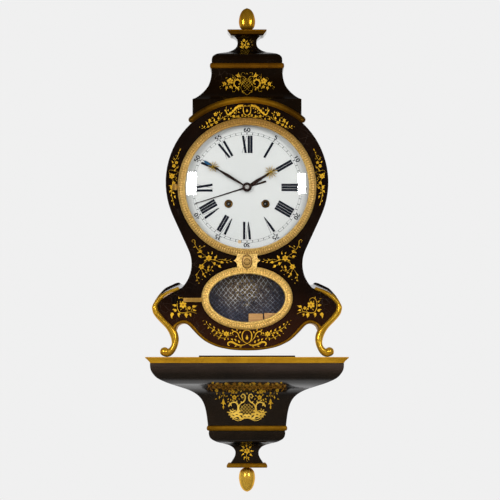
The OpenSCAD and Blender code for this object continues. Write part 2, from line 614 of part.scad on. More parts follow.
// ---------- strike ----------
module strike_second_wheel() {
  color("#c2a25a") {
    bar(second_at[0], second_at[1] + dial_z, 1.5, 54, 121);
    xz(94.8, 101) pinion_2d(second_at, 12, 0.9, bearing(second_at, strike_barrel_at) + 15);
    xz(106, 108) wheel_2d(second_at, 60, 0.8, bearing(second_at, pin_at), 5);
  }
}
module pin_wheel() {
  color("#c2a25a") {
    bar(pin_at[0], pin_at[1] + dial_z, 1.5, 54, 121);
    xz(104.5, 109.5) pinion_2d(pin_at, 10, 0.8, bearing(pin_at, second_at) + 18);
    xz(84, 86) wheel_2d(pin_at, 64, 0.6, bearing(pin_at, fly_at), 4);
    for (i = [0:7]) bar(pin_at[0] + 15.8 * cos(i * 45 + 20), pin_at[1] + dial_z + 15.8 * sin(i * 45 + 20), 0.7, 86, 90);
  }
}
module strike_fly() {
  color("#c2a25a") {
    bar(fly_at[0], fly_at[1] + dial_z, 1.5, 54, 121);
    xz(82.8, 87.2) pinion_2d(fly_at, 8, 0.6, bearing(fly_at, pin_at) + 22.5);
    bar(fly_at[0], fly_at[1] + dial_z, 2.6, 94, 103);
    xz(94, 103) translate([fly_at[0] - 9, fly_at[1] + dial_z - 0.5]) square([18, 1]);
  }
}
module strike_hammer() {
  color("#8d8d92") {
    bar(hammer_at[0], hammer_at[1] + dial_z, 1.5, 54, 121);
    bar(hammer_at[0], hammer_at[1] + dial_z, 3, 72, 90);
    xz(74.6, 77.4) polygon([[-24.5, 392], [-20.5, 394], [-38, 417], [-41, 424], [-44, 424], [-42.5, 415]]);
    // tail that the lifting pins push
    xz(87, 89) polygon([[-22.6, 389.6], [-20.6, 391], [-35.2, 380.4], [-36.6, 381.6], [-24.5, 393]]);
    translate([-46.6, -76, 426 + shelf_z]) rotate([0, 90, 0]) cylinder(h = 9, r = 4.2);
  }
}

// ---------- hands ----------
// drawn pointing up from the centre, then turned to the hour
module hand(ang, d0, d1) { xz(d0, d1) translate([0, dial_z]) rotate(-ang) children(); }
module sun_2d(z, r0, r1, n) {
  translate([0, z]) polygon([for (i = [0:2 * n - 1]) let (r = i % 2 == 0 ? r1 : r0) [r * sin(i * 180 / n), r * cos(i * 180 / n)]]);
}
module minute_hand() {
  L = minute_len;
  color("#2b3350") {
    // hub with its domed collet
    spun(0, dial_z) polygon([[1.98, 148.6], [8, 148.6], [8, 149.8], [9.6, 149.8], [9.6, 151], [8.4, 153], [5.6, 154.6], [4, 155], [1.98, 155]]);
    hand(301.4, 148.7, 149.7) polygon([[-1.2, 4.2], [-1.1, 20], [-1.9, 44], [-1, 64], [-0.9, L - 22], [-1.8, L - 17], [-1.7, L - 11], [-0.7, L - 8], [0, L],
      [0.7, L - 8], [1.7, L - 11], [1.8, L - 17], [0.9, L - 22], [1, 64], [1.9, 44], [1.1, 20], [1.2, 4.2]]);
    hand(301.4, 148.8, 149.6) sun_2d(L - 30, 5.4, 9.5, 12);
  }
}
module hour_hand() {
  L = hour_len;
  color("#2b3350") {
    spun(0, dial_z) polygon([[3.64, 145.4], [8, 145.4], [8, 146.6], [3.64, 146.6]]);
    hand(57.7, 145.5, 146.5) polygon([[-1.9, 5.2], [-1.8, 14], [-2.2, 32], [-1.1, 48], [-1, L - 8], [-1.2, L - 5], [0, L],
      [1.2, L - 5], [1, L - 8], [1.1, 48], [2.2, 32], [1.8, 14], [1.9, 5.2]]);
    hand(57.7, 145.6, 146.4) sun_2d(L - 15.5, 6.6, 12, 12);
  }
}
module alarm_hand() {
  L = alarm_len;
  color("#1c1f28") difference() {
    union() {
      hand(252.6, 143.6, 144.4) union() {
        circle(r = 6.4);
        polygon([[-1.3, 0], [-0.45, L - 12], [-0.9, L - 3], [0, L], [0.9, L - 3], [0.45, L - 12], [1.3, 0]]);
        polygon([[-1.2, 0], [-2.4, -36], [-1.6, -40], [1.6, -40], [2.4, -36], [1.2, 0]]);
      }
      bar(0, dial_z, 5.6, 130, 144.4);
    }
    bar(0, dial_z, 3.68, 120, 150);
  }
}

console_back();
console_shell();
console_top();
console_top_moulding();
console_mid_moulding();
console_bowl();
console_base_plate();
console_drop();
hanger_plates();
front_panel();
side_left();
side_right();
floor_board();
back_board();
apron_moulding();
front_feet();
rear_feet();
arch_moulding();
hood_block();
hood_flare();
hood_moulding();
hood_dome();
hood_cap();
hood_finial();
net_screen();
screen_blocks();
hinge_lugs();
dial_plate();
winding_collets();
movement_plates();
movement_frame();
suspension_cock();
strike_bell();
bezel_frame();
dial_glass();
window_glass();
rosette();
back_door();
back_door_button();
going_barrel();
going_winding_arbor();
intermediate_wheel();
centre_wheel();
minute_hand();
minute_wheel();
hour_wheel();
hour_hand();
alarm_hand();
third_wheel();
escape_wheel();
pallet_anchor();
pendulum_rod();
pendulum_bob();
rating_nut();
strike_barrel();
strike_winding_arbor();
strike_second_wheel();
pin_wheel();
strike_fly();
strike_hammer();
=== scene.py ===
import bpy
import json
import math
import random
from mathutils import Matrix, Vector
from mathutils.geometry import tessellate_polygon

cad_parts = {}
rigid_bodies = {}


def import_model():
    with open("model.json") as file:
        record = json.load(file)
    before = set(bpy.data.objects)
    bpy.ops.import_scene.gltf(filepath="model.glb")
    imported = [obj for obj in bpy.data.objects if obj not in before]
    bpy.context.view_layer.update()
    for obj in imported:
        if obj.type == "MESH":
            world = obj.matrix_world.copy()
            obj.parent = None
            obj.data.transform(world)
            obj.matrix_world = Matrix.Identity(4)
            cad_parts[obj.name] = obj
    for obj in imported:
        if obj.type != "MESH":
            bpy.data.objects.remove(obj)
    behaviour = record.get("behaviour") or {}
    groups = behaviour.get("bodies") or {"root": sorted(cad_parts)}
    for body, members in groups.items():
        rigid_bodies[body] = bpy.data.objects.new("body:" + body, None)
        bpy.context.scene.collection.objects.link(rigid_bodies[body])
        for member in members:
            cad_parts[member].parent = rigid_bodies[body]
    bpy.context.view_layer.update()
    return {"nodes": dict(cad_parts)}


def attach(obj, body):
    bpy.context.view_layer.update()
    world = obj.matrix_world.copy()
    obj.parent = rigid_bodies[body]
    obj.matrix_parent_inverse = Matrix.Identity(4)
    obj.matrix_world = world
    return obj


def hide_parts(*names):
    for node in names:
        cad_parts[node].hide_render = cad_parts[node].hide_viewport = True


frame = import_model()
nodes = frame["nodes"]
scene = bpy.context.scene
scene.view_settings.view_transform = "Standard"
scene.view_settings.look = "None"
scene.view_settings.exposure = 0.0
scene.view_settings.gamma = 1.0

# ------------------------------------------------------------------ camera
# The lens is long and stands at the level of the shelf, looking slightly up.
cam_data = bpy.data.cameras.new("camera")
cam_data.lens = 216.0
cam_data.sensor_width = 36.0
cam_data.clip_end = 100.0
cam = bpy.data.objects.new("camera", cam_data)
scene.collection.objects.link(cam)
cam.location = (0.0, -6.15, 0.041)
aim = Vector((0.006, -0.15, 0.254)) - Vector(cam.location)
cam.rotation_euler = aim.to_track_quat("-Z", "Y").to_euler()
scene.camera = cam

# ------------------------------------------------------------------ light
world = bpy.data.worlds.new("studio")
scene.world = world
world.use_nodes = True
wt = world.node_tree
wt.nodes.clear()


def wnode(kind, **kw):
    n = wt.nodes.new(kind)
    for k, v in kw.items():
        n.inputs[k].default_value = v
    return n


w_out = wnode("ShaderNodeOutputWorld")
w_mix = wnode("ShaderNodeMixShader")
w_path = wnode("ShaderNodeLightPath")
w_cam = wnode("ShaderNodeBackground", Color=(0.871, 0.871, 0.871, 1), Strength=1.0)
w_env = wnode("ShaderNodeBackground", Strength=1.0)
w_co = wnode("ShaderNodeTexCoord")
w_dot = wt.nodes.new("ShaderNodeVectorMath")
w_dot.operation = "DOT_PRODUCT"
w_dot.inputs[1].default_value = (0.0, -1.0, 0.0)
w_ramp = wt.nodes.new("ShaderNodeValToRGB")
w_nrm = wt.nodes.new("ShaderNodeVectorMath")
w_nrm.operation = "NORMALIZE"
wt.links.new(w_co.outputs["Generated"], w_nrm.inputs[0])
wt.links.new(w_nrm.outputs[0], w_dot.inputs[0])
w_map = wt.nodes.new("ShaderNodeMapRange")
w_map.inputs["From Min"].default_value = -1.0
w_map.inputs["From Max"].default_value = 1.0
wt.links.new(w_dot.outputs["Value"], w_map.inputs["Value"])
wt.links.new(w_map.outputs["Result"], w_ramp.inputs["Fac"])
# the backdrop behind the object is pale, the room in front of it is dim
cr = w_ramp.color_ramp
cr.elements[0].position = 0.0
cr.elements[0].color = (1.0, 1.0, 1.0, 1)
cr.elements[1].position = 0.30
cr.elements[1].color = (0.80, 0.80, 0.80, 1)
for pos, v in ((0.44, 0.16), (0.56, 0.075), (0.80, 0.075), (0.94, 0.05), (1.0, 0.03)):
    e = cr.elements.new(pos)
    e.color = (v, v, v, 1)
# the backdrop ends above, where the room is dim again
w_sep = wt.nodes.new("ShaderNodeSeparateXYZ")
w_top = wt.nodes.new("ShaderNodeMapRange")
w_mul = wt.nodes.new("ShaderNodeMix")
w_mul.data_type = "RGBA"
w_mul.blend_type = "MULTIPLY"
w_mul.inputs[0].default_value = 1.0
for k_, v_ in (("From Min", 0.24), ("From Max", 0.42), ("To Min", 1.0), ("To Max", 0.10)):
    w_top.inputs[k_].default_value = v_
wt.links.new(w_nrm.outputs[0], w_sep.inputs[0])
wt.links.new(w_sep.outputs["Z"], w_top.inputs["Value"])
wt.links.new(w_ramp.outputs["Color"], w_mul.inputs[6])
wt.links.new(w_top.outputs["Result"], w_mul.inputs[7])
wt.links.new(w_mul.outputs[2], w_env.inputs["Color"])
wt.links.new(w_path.outputs["Is Camera Ray"], w_mix.inputs["Fac"])
wt.links.new(w_env.outputs[0], w_mix.inputs[1])
wt.links.new(w_cam.outputs[0], w_mix.inputs[2])
wt.links.new(w_mix.outputs[0], w_out.inputs["Surface"])


def softbox(name, az, el, dist, w, h, power, target=(0.0, -0.15, 0.38)):
    """An area lamp at an azimuth from the front, an elevation and a distance from the dial."""
    data = bpy.data.lights.new(name, "AREA")
    data.shape = "RECTANGLE"
    data.size = w
    data.size_y = h
    data.energy = power
    o = bpy.data.objects.new(name, data)
    scene.collection.objects.link(o)
    t = Vector(target)
    a, e = math.radians(az), math.radians(el)
    o.location = t + dist * Vector((math.sin(a) * math.cos(e), -math.cos(a) * math.cos(e), math.sin(e)))
    o.rotation_euler = (t - o.location).to_track_quat("-Z", "Y").to_euler()
    return o


softbox("strip_left", -31.9, 5.0, 2.5, 0.24, 0.53, 20.0)
softbox("strip_right", 31.5, 5.0, 2.5, 0.20, 0.48, 16.0)
tips = bpy.data.collections.new("finial_only")
others = bpy.data.collections.new("all_but_finial")
tips.objects.link(nodes["hood_finial"])
others.objects.link(nodes["hood_finial"])
others.collection_objects[0].light_linking.link_state = "EXCLUDE"
for a_ in (-57.0, 55.0):
    lamp = softbox("tip_left" if a_ < 0 else "tip_right", a_, 7.0, 2.5, 0.46, 0.95, 56.0)
    lamp.light_linking.receiver_collection = tips
for lamp in [ob for ob in scene.objects if ob.name.startswith("strip_")]:
    lamp.light_linking.receiver_collection = others
for name, az, el, w, h, power in (("fill_left", -24.0, 15.0, 1.2, 1.2, 44.0), ("fill_right", 24.0, 15.0, 1.2, 1.2, 41.0), ("fill_low", 0.0, -12.0, 1.6, 0.8, 16.0)):
    # soft fill that lights the paint without a mirror image in the lacquer
    softbox(name, az, el, 2.8, w, h, power).visible_glossy = False

# ------------------------------------------------------------------ node tools


class Mat:
    """A short way to write a node material."""

    def __init__(self, name):
        self.m = bpy.data.materials.new(name)
        self.m.use_nodes = True
        self.t = self.m.node_tree
        self.t.nodes.clear()
        self.out = self.t.nodes.new("ShaderNodeOutputMaterial")
        self._co = None

    def new(self, kind, **kw):
        n = self.t.nodes.new(kind)
        for k, v in kw.items():
            if k in n.inputs:
                self.put(n.inputs[k], v)
            else:
                setattr(n, k, v)
        return n

    def put(self, sock, v):
        if hasattr(v, "is_output"):
            self.t.links.new(v, sock)
        else:
            sock.default_value = v

    def co(self):
        if self._co is None:
            self._co = self.new("ShaderNodeTexCoord").outputs["Object"]
        return self._co

    def scaled(self, s, rot=(0, 0, 0)):
        n = self.new("ShaderNodeMapping")
        self.put(n.inputs["Vector"], self.co())
        n.inputs["Scale"].default_value = s
        n.inputs["Rotation"].default_value = rot
        return n.outputs[0]

    def noise(self, scale, detail=4.0, rough=0.55, co=None, dist=0.0):
        n = self.new("ShaderNodeTexNoise")
        self.put(n.inputs["Vector"], co or self.co())
        n.inputs["Scale"].default_value = scale
        n.inputs["Detail"].default_value = detail
        n.inputs["Roughness"].default_value = rough
        n.inputs["Distortion"].default_value = dist
        return n.outputs["Fac"]

    def voronoi(self, scale, feature="F1", co=None, rand=1.0):
        n = self.new("ShaderNodeTexVoronoi")
        n.feature = feature
        self.put(n.inputs["Vector"], co or self.co())
        n.inputs["Scale"].default_value = scale
        n.inputs["Randomness"].default_value = rand
        return n.outputs["Distance"]

    def ramp(self, fac, stops, interp="LINEAR"):
        n = self.new("ShaderNodeValToRGB")
        n.color_ramp.interpolation = interp
        self.put(n.inputs["Fac"], fac)
        els = n.color_ramp.elements
        while len(els) > 1:
            els.remove(els[0])
        els[0].position = stops[0][0]
        els[0].color = self.col(stops[0][1])
        for p, c in stops[1:]:
            e = els.new(p)
            e.color = self.col(c)
        return n.outputs["Color"]

    @staticmethod
    def col(c):
        if isinstance(c, (int, float)):
            return (c, c, c, 1)
        return (c[0], c[1], c[2], 1)

    def mix(self, fac, a, b, mode="MIX"):
        n = self.new("ShaderNodeMix")
        n.data_type = "RGBA"
        n.blend_type = mode
        self.put(n.inputs[0], fac)
        self.put(n.inputs[6], self.col(a) if isinstance(a, (tuple, float, int)) else a)
        self.put(n.inputs[7], self.col(b) if isinstance(b, (tuple, float, int)) else b)
        return n.outputs[2]

    def math(self, op, a, b=0.0, clamp=False):
        n = self.new("ShaderNodeMath")
        n.operation = op
        n.use_clamp = clamp
        self.put(n.inputs[0], a)
        self.put(n.inputs[1], b)
        return n.outputs[0]

    def remap(self, v, a, b, c, d):
        n = self.new("ShaderNodeMapRange")
        self.put(n.inputs["Value"], v)
        n.inputs["From Min"].default_value = a
        n.inputs["From Max"].default_value = b
        n.inputs["To Min"].default_value = c
        n.inputs["To Max"].default_value = d
        return n.outputs["Result"]

    def bump(self, height, strength, dist=0.001, normal=None):
        n = self.new("ShaderNodeBump")
        self.put(n.inputs["Height"], height)
        n.inputs["Strength"].default_value = strength
        n.inputs["Distance"].default_value = dist
        if normal is not None:
            self.put(n.inputs["Normal"], normal)
        return n.outputs[0]

    def bsdf(self, **kw):
        n = self.new("ShaderNodeBsdfPrincipled")
        for k, v in kw.items():
            k = k.replace("_", " ")
            self.put(n.inputs[k], self.col(v) if k == "Base Color" and isinstance(v, tuple) else v)
        self.t.links.new(n.outputs[0], self.out.inputs["Surface"])
        return n

    def xyz(self, co=None):
        n = self.new("ShaderNodeSeparateXYZ")
        self.put(n.inputs[0], co or self.co())
        return n.outputs


# ------------------------------------------------------------------ materials


def lacquer(name, dark, brown, low_glow=0.0, amount=0.5, painted_sheen=None, coat=0.2, spec=0.38):
    m = Mat(name)
    cloud = m.noise(7.0, 6.0, 0.6)
    fine = m.noise(60.0, 4.0, 0.6)
    base = m.mix(m.remap(cloud, 0.35, 0.72, 0.0, amount), dark, brown)
    base = m.mix(m.remap(fine, 0.45, 0.8, 0.0, 0.35), base, brown)
    if low_glow:
        z = m.xyz()[2]
        near = m.remap(z, 0.055, 0.17, low_glow, 0.0)
        near.node.clamp = True
        base = m.mix(near, base, (0.022, 0.0060, 0.0022))
    # painted reflection: the dull mask lays lighter grey streaks over the upper console, standing in for the lamps'
    # sheen on its curve
    if painted_sheen:
        dull = m.remap(m.xyz()[2], painted_sheen[0], painted_sheen[1], 0.0, 1.0)
        dull.node.clamp = True
        dull = m.math("MULTIPLY", dull, m.remap(m.noise(3.5, 4.0, 0.6, m.scaled((1, 1, 9))), 0.35, 0.65, 0.4, 1.0), clamp=True)
        base = m.mix(dull, base, painted_sheen[2])
    crack = m.voronoi(75.0, "DISTANCE_TO_EDGE", co=None)
    line = m.remap(crack, 0.0, 0.035, 1.0, 0.0)
    mask = m.remap(m.noise(11.0, 3.0), 0.52, 0.66, 0.0, 1.0)
    line = m.math("MULTIPLY", line, mask, clamp=True)
    base = m.mix(m.math("MULTIPLY", line, 0.45), base, (0.022, 0.012, 0.006))
    rough = m.remap(m.noise(16.0, 5.0, 0.65), 0.3, 0.75, 0.10, 0.24)
    rough = m.math("ADD", rough, m.math("MULTIPLY", line, 0.2))
    wave = m.noise(22.0, 2.0, 0.5)
    b1 = m.bump(wave, 0.10, 0.002)
    b2 = m.bump(line, -0.12, 0.0002, b1)
    m.bsdf(Base_Color=base, Roughness=rough, Coat_Weight=coat, Coat_Roughness=0.08, Normal=b2, Specular_IOR_Level=spec)
    return m.m


def gilding(name, light, mid, bole, metal=0.8, rough=(0.28, 0.48), wear=0.5, grain=0.5, fine_scale=170.0, side=None, low=None, rim=(1.0, 0.62, 0.14), returns=None, top=None):
    m = Mat(name)
    cloud = m.noise(24.0, 5.0, 0.6)
    fine = m.noise(fine_scale, 5.0, 0.6)
    base = m.mix(m.remap(cloud, 0.32, 0.70, 0.0, 1.0), light, mid)
    worn = m.math("MULTIPLY", m.remap(fine, 0.52, 0.72, 0.0, 1.0), m.remap(cloud, 0.45, 0.62, 0.15, 1.0), clamp=True)
    base = m.mix(m.math("MULTIPLY", worn, wear), base, bole)
    # leaf laps: faint straight joints
    lap = m.voronoi(14.0, "DISTANCE_TO_EDGE", rand=0.6)
    lapl = m.remap(lap, 0.0, 0.02, 1.0, 0.0)
    base = m.mix(m.math("MULTIPLY", lapl, 0.18, clamp=True), base, bole)
    if side:
        # painted shade: darker away from the middle
        shade_away = m.remap(m.math("ABSOLUTE", m.xyz()[0]), side[0], side[1], 0.0, 1.0)
        shade_away.node.clamp = True
        base = m.mix(shade_away, base, side[2], "MULTIPLY")
    if low:
        # painted shade: darker towards the bottom
        down = m.remap(m.xyz()[2], low[0], low[1], 1.0, 0.0)
        down.node.clamp = True
        base = m.mix(down, base, low[2], "MULTIPLY")
    r = m.remap(m.noise(55.0, 4.0, 0.6), 0.3, 0.75, rough[0], rough[1])
    r = m.math("ADD", r, m.math("MULTIPLY", worn, 0.15))
    b = m.bump(fine, 0.22 * grain, 0.0006)
    b = m.bump(cloud, 0.25 * grain, 0.002, b)
    shine, coat = metal, 0.0
    if returns:
        # behind the mitre the returns, and everything above top when it is given, are dark glossy brown instead of gilt
        co = m.xyz()
        mitre = m.math("SUBTRACT", m.math("SUBTRACT", m.math("MULTIPLY", co[1], -1.0), returns), m.math("ABSOLUTE", co[0]))
        back = m.remap(mitre, -0.0016, -0.0004, 1.0, 0.0)
        back.node.clamp = True
        if top:
            upper = m.remap(m.xyz()[2], top - 0.0003, top, 0.0, 1.0)
            upper.node.clamp = True
            back = m.math("MAXIMUM", back, upper)
        base = m.mix(back, base, (0.012, 0.0065, 0.0030))
        r = m.math("ADD", m.math("MULTIPLY", r, m.math("SUBTRACT", 1.0, back)), m.math("MULTIPLY", back, 0.12))
        shine = m.remap(back, 0.0, 1.0, metal, 0.0)
    n = m.bsdf(Base_Color=base, Metallic=shine, Roughness=r, Normal=b)
    n.inputs["Specular Tint"].default_value = (*rim, 1.0)
    return m.m


def metal(name, a, b, rough=(0.2, 0.4), metallic=1.0, scale=(60, 60, 60), spots=0.0, spot=(0.05, 0.03, 0.02), bump=0.1,
          square=None):
    m = Mat(name)
    co = m.scaled(scale)
    n1 = m.noise(1.0, 5.0, 0.6, co)
    n2 = m.noise(9.0, 4.0, 0.6)
    base = m.mix(m.remap(n2, 0.3, 0.7, 0.0, 1.0), a, b)
    if spots:
        s = m.remap(m.noise(85.0, 5.0, 0.7), 0.60, 0.72, 0.0, spots)
        s.node.clamp = True
        base = m.mix(s, base, spot)
    r = m.remap(n1, 0.3, 0.7, rough[0], rough[1])
    if square:
        # the worn ends of the winding squares are bright; what lies deeper in the collets is painted dark, as painted
        # shade in the winding holes
        x, y, z = m.xyz()
        dx = m.math("SUBTRACT", m.math("ABSOLUTE", x), square[0])
        dz = m.math("SUBTRACT", z, square[1])
        far = m.math("SQRT", m.math("ADD", m.math("MULTIPLY", dx, dx), m.math("MULTIPLY", dz, dz)))
        edge = m.remap(far, 0.0012, 0.0019, 0.0, 1.0)
        edge.node.clamp = True
        base = m.mix(edge, (0.80, 0.80, 0.80), m.mix(0.8, base, (0.040, 0.034, 0.026)))
    m.bsdf(Base_Color=base, Metallic=metallic, Roughness=r, Normal=m.bump(n1, bump, 0.0003))
    return m.m


def timber(name, a, b, dark, along="x", rough=(0.45, 0.65), scale=1.0, brass_behind=None):
    m = Mat(name)
    s = {"x": (6, 90, 90), "y": (90, 6, 90), "z": (90, 90, 6)}[along]
    co = m.scaled(tuple(v * scale for v in s))
    grain = m.noise(1.0, 6.0, 0.65, co, 0.6)
    big = m.noise(0.22, 4.0, 0.6, co, 1.6)
    base = m.mix(m.remap(big, 0.35, 0.65, 0.0, 1.0), a, b)
    base = m.mix(m.remap(grain, 0.5, 0.74, 0.0, 0.75), base, dark)
    pores = m.noise(5.0, 3.0, 0.6, m.scaled(tuple(v * 3.0 * scale for v in s)))
    base = m.mix(m.remap(pores, 0.62, 0.75, 0.0, 0.5), base, dark)
    r = m.remap(grain, 0.3, 0.7, rough[0], rough[1])
    bm = m.bump(grain, 0.25, 0.0006)
    shine = 0.0
    if brass_behind:
        # the hinges and the stud stand proud of the wood
        k = m.remap(m.xyz()[1], brass_behind[0], brass_behind[1], 0.0, 1.0)
        k.node.clamp = True
        brass = m.mix(m.remap(m.noise(140.0, 4.0, 0.6), 0.35, 0.65, 0.0, 1.0), (0.52, 0.34, 0.11), (0.34, 0.20, 0.055))
        base = m.mix(k, base, brass)
        r = m.math("SUBTRACT", r, m.math("MULTIPLY", k, 0.22))
        shine = m.remap(k, 0.0, 1.0, 0.0, 0.8)
    m.bsdf(Base_Color=base, Roughness=r, Normal=bm, Metallic=shine)
    return m.m


M = {}
M["lacquer"] = lacquer("lacquer_case", (0.0022, 0.0009, 0.0004), (0.0080, 0.0028, 0.0010), 0.85)
# the last argument paints a lighter grey sheen over the top of the console: painted reflection
M["lacquer_console"] = lacquer("lacquer_console", (0.0066, 0.0046, 0.0030), (0.0150, 0.0090, 0.0050), 0.0, 0.7, (0.006, 0.024, (0.036, 0.0235, 0.0180)))
M["lacquer_hood"] = lacquer("lacquer_hood", (0.0022, 0.0011, 0.0004), (0.0072, 0.0032, 0.0010), 0.0, 0.5, coat=0.08, spec=0.20)
M["lacquer_bowl"] = lacquer("lacquer_bowl", (0.0066, 0.0046, 0.0030), (0.0150, 0.0090, 0.0050), 0.0, 0.7, coat=0.05, spec=0.24)
M["gilt"] = gilding("gilt_moulding", (0.300, 0.138, 0.0060), (0.190, 0.080, 0.0030), (0.060, 0.020, 0.003), 0.72, (0.30, 0.50), 0.55)
# painted shade: the side term darkens the arch towards its ends
M["gilt_arch"] = gilding("gilt_arch", (0.420, 0.198, 0.0086), (0.262, 0.112, 0.0042), (0.075, 0.025, 0.0035), 0.72, (0.28, 0.46), 0.5,
                         side=(0.03, 0.085, (0.24, 0.215, 0.26)))
M["gilt_hood"] = gilding("gilt_hood_bead", (0.196, 0.078, 0.0030), (0.124, 0.045, 0.0016), (0.042, 0.013, 0.002), 0.72, (0.30, 0.50), 0.55,
                         returns=0.0354)
# painted shadow: low darkens the cap's lower edge, where the neck below lies in shade
M["gilt_cap"] = gilding("gilt_cap", (0.196, 0.078, 0.0030), (0.124, 0.045, 0.0016), (0.042, 0.013, 0.002), 0.72, (0.30, 0.50), 0.55,
                        low=(0.6962, 0.6976, (0.08, 0.06, 0.08)), returns=0.0354, top=0.70505)
M["gilt_bright"] = gilding("gilt_feet", (0.735, 0.420, 0.034), (0.500, 0.252, 0.015), (0.170, 0.068, 0.007), 0.71, (0.21, 0.37), 0.42)
# painted shade: low darkens the lower part of the egg to a reddish brown
M["gilt_finial"] = gilding("gilt_finial", (0.560, 0.300, 0.020), (0.360, 0.170, 0.009), (0.120, 0.044, 0.004), 0.80, (0.17, 0.28), 0.55,
                           low=(0.7060, 0.7150, (0.30, 0.17, 0.12)), rim=(0.55, 0.27, 0.03))
# painted reflection: a brighter copy of the gilding for the shelf's edge, standing in for light it catches from below
M["gilt_shelf"] = gilding("gilt_shelf_painted_reflection", (0.640, 0.330, 0.018), (0.440, 0.205, 0.009), (0.140, 0.052, 0.005), 0.45, (0.28, 0.46), 0.45)
M["gilt_drop"] = gilding("gilt_drop", (0.860, 0.520, 0.070), (0.620, 0.330, 0.030), (0.200, 0.085, 0.010), 0.60, (0.13, 0.24), 0.30)
M["gilt_ornament"] = gilding("gilt_ornament", (0.600, 0.350, 0.022), (0.360, 0.185, 0.010), (0.090, 0.038, 0.004), 0.25, (0.34, 0.52), 0.85, 0.3, 620.0)
M["gilt_cartouche"] = gilding("gilt_cartouche", (0.760, 0.500, 0.085), (0.470, 0.280, 0.034), (0.130, 0.056, 0.006), 0.25, (0.32, 0.50), 0.8, 0.3, 620.0)
M["gilt_faded"] = gilding("gilt_ornament_faded", (0.290, 0.128, 0.009), (0.175, 0.068, 0.004), (0.060, 0.024, 0.004), 0.25, (0.36, 0.55), 0.85, 0.3, 620.0)
M["gilt_dull"] = gilding("gilt_ornament_dull", (0.090, 0.050, 0.008), (0.055, 0.027, 0.004), (0.025, 0.012, 0.003), 0.25, (0.36, 0.55), 0.85, 0.3, 620.0)
M["shade"] = metal("shaded_ground", (0.0070, 0.0042, 0.0026), (0.0040, 0.0024, 0.0014), (0.5, 0.65), 0.0, (200, 200, 200), 0.3, (0.012, 0.006, 0.002), 0.1)
M["boss_brass"] = metal("boss_brass", (0.47, 0.29, 0.075), (0.36, 0.200, 0.044), (0.28, 0.44), 0.35, (260, 260, 260), 0.5, (0.10, 0.04, 0.012), 0.25)
M["hinge_brass"] = metal("hinge_brass", (0.60, 0.40, 0.13), (0.45, 0.28, 0.08), (0.25, 0.45), 0.9, (120, 120, 120), 0.4, (0.16, 0.09, 0.04), 0.2)
M["pin_brass"] = metal("pin_brass", (0.66, 0.47, 0.28), (0.50, 0.32, 0.16), (0.3, 0.5), 0.35, (200, 200, 200), 0.5, (0.24, 0.12, 0.05), 0.2)
M["collet_brass"] = metal("collet_brass", (0.20, 0.105, 0.030), (0.12, 0.058, 0.016), (0.25, 0.45), 0.8, (200, 200, 200), 0.4, (0.04, 0.02, 0.01), 0.2)
M["movement_brass"] = metal("movement_brass", (0.66, 0.46, 0.16), (0.55, 0.36, 0.11), (0.20, 0.42), 1.0, (30, 400, 400), 0.3, (0.22, 0.13, 0.05), 0.15)
M["steel"] = metal("movement_steel", (0.42, 0.42, 0.43), (0.32, 0.31, 0.31), (0.22, 0.42), 1.0, (300, 60, 300), 0.35, (0.12, 0.06, 0.03), 0.2)
M["square"] = metal("winding_steel", (0.42, 0.42, 0.43), (0.32, 0.31, 0.31), (0.22, 0.42), 1.0, (300, 60, 300), 0.35, (0.12, 0.06, 0.03), 0.2,
                    (0.037, 0.347))
M["bell"] = metal("bell_metal", (0.63, 0.52, 0.30), (0.50, 0.40, 0.20), (0.18, 0.34), 1.0, (60, 60, 500), 0.25, (0.16, 0.14, 0.08), 0.12)
M["blued"] = metal("blued_steel", (0.030, 0.034, 0.052), (0.016, 0.015, 0.020), (0.18, 0.34), 0.85, (400, 400, 400), 0.3, (0.05, 0.022, 0.012), 0.1)
M["case_wood"] = timber("case_wood", (0.115, 0.052, 0.022), (0.080, 0.034, 0.014), (0.030, 0.012, 0.006), "z", brass_behind=(-0.00598, -0.00575))
M["light_wood"] = timber("light_wood", (0.47, 0.255, 0.088), (0.39, 0.192, 0.060), (0.20, 0.085, 0.026), "x", (0.5, 0.7), 2.2)


def enamel():
    m = Mat("enamel")
    cloud = m.noise(9.0, 4.0, 0.5)
    base = m.mix(m.remap(cloud, 0.3, 0.7, 0.0, 1.0), (0.568, 0.569, 0.562), (0.546, 0.547, 0.538))
    speck = m.noise(420.0, 2.0, 0.5)
    base = m.mix(m.remap(speck, 0.70, 0.78, 0.0, 0.35), base, (0.42, 0.38, 0.30))
    # painted shadow: a faint grey rim at the dial's edge, where the bezel's shade falls
    co = m.xyz()
    dx = m.math("MULTIPLY", co[0], co[0])
    dz0 = m.math("SUBTRACT", co[2], 0.380)
    dz = m.math("MULTIPLY", dz0, dz0)
    r = m.math("SQRT", m.math("ADD", dx, dz))
    rim = m.remap(r, 0.1215, 0.1255, 0.0, 0.2)
    rim.node.clamp = True
    base = m.mix(rim, base, (0.45, 0.44, 0.40))
    crack = m.voronoi(9.0, "DISTANCE_TO_EDGE")
    hair = m.math("MULTIPLY", m.remap(crack, 0.0, 0.004, 1.0, 0.0), m.remap(m.noise(5.0, 2.0), 0.60, 0.66, 0.0, 0.30), clamp=True)
    base = m.mix(hair, base, (0.40, 0.37, 0.33))
    ripple = m.noise(30.0, 2.0)
    m.bsdf(Base_Color=base, Roughness=m.remap(cloud, 0.3, 0.7, 0.10, 0.20), Coat_Weight=0.6, Coat_Roughness=0.05,
           Normal=m.bump(ripple, 0.06, 0.001))
    return m.m


def dial_paint():
    m = Mat("dial_paint")
    n = m.noise(160.0, 4.0, 0.6)
    base = m.mix(m.remap(n, 0.35, 0.75, 0.0, 1.0), (0.0028, 0.0032, 0.0075), (0.0080, 0.0088, 0.0160))
    m.bsdf(Base_Color=base, Roughness=m.remap(n, 0.3, 0.7, 0.40, 0.55), Specular_IOR_Level=0.08)
    return m.m


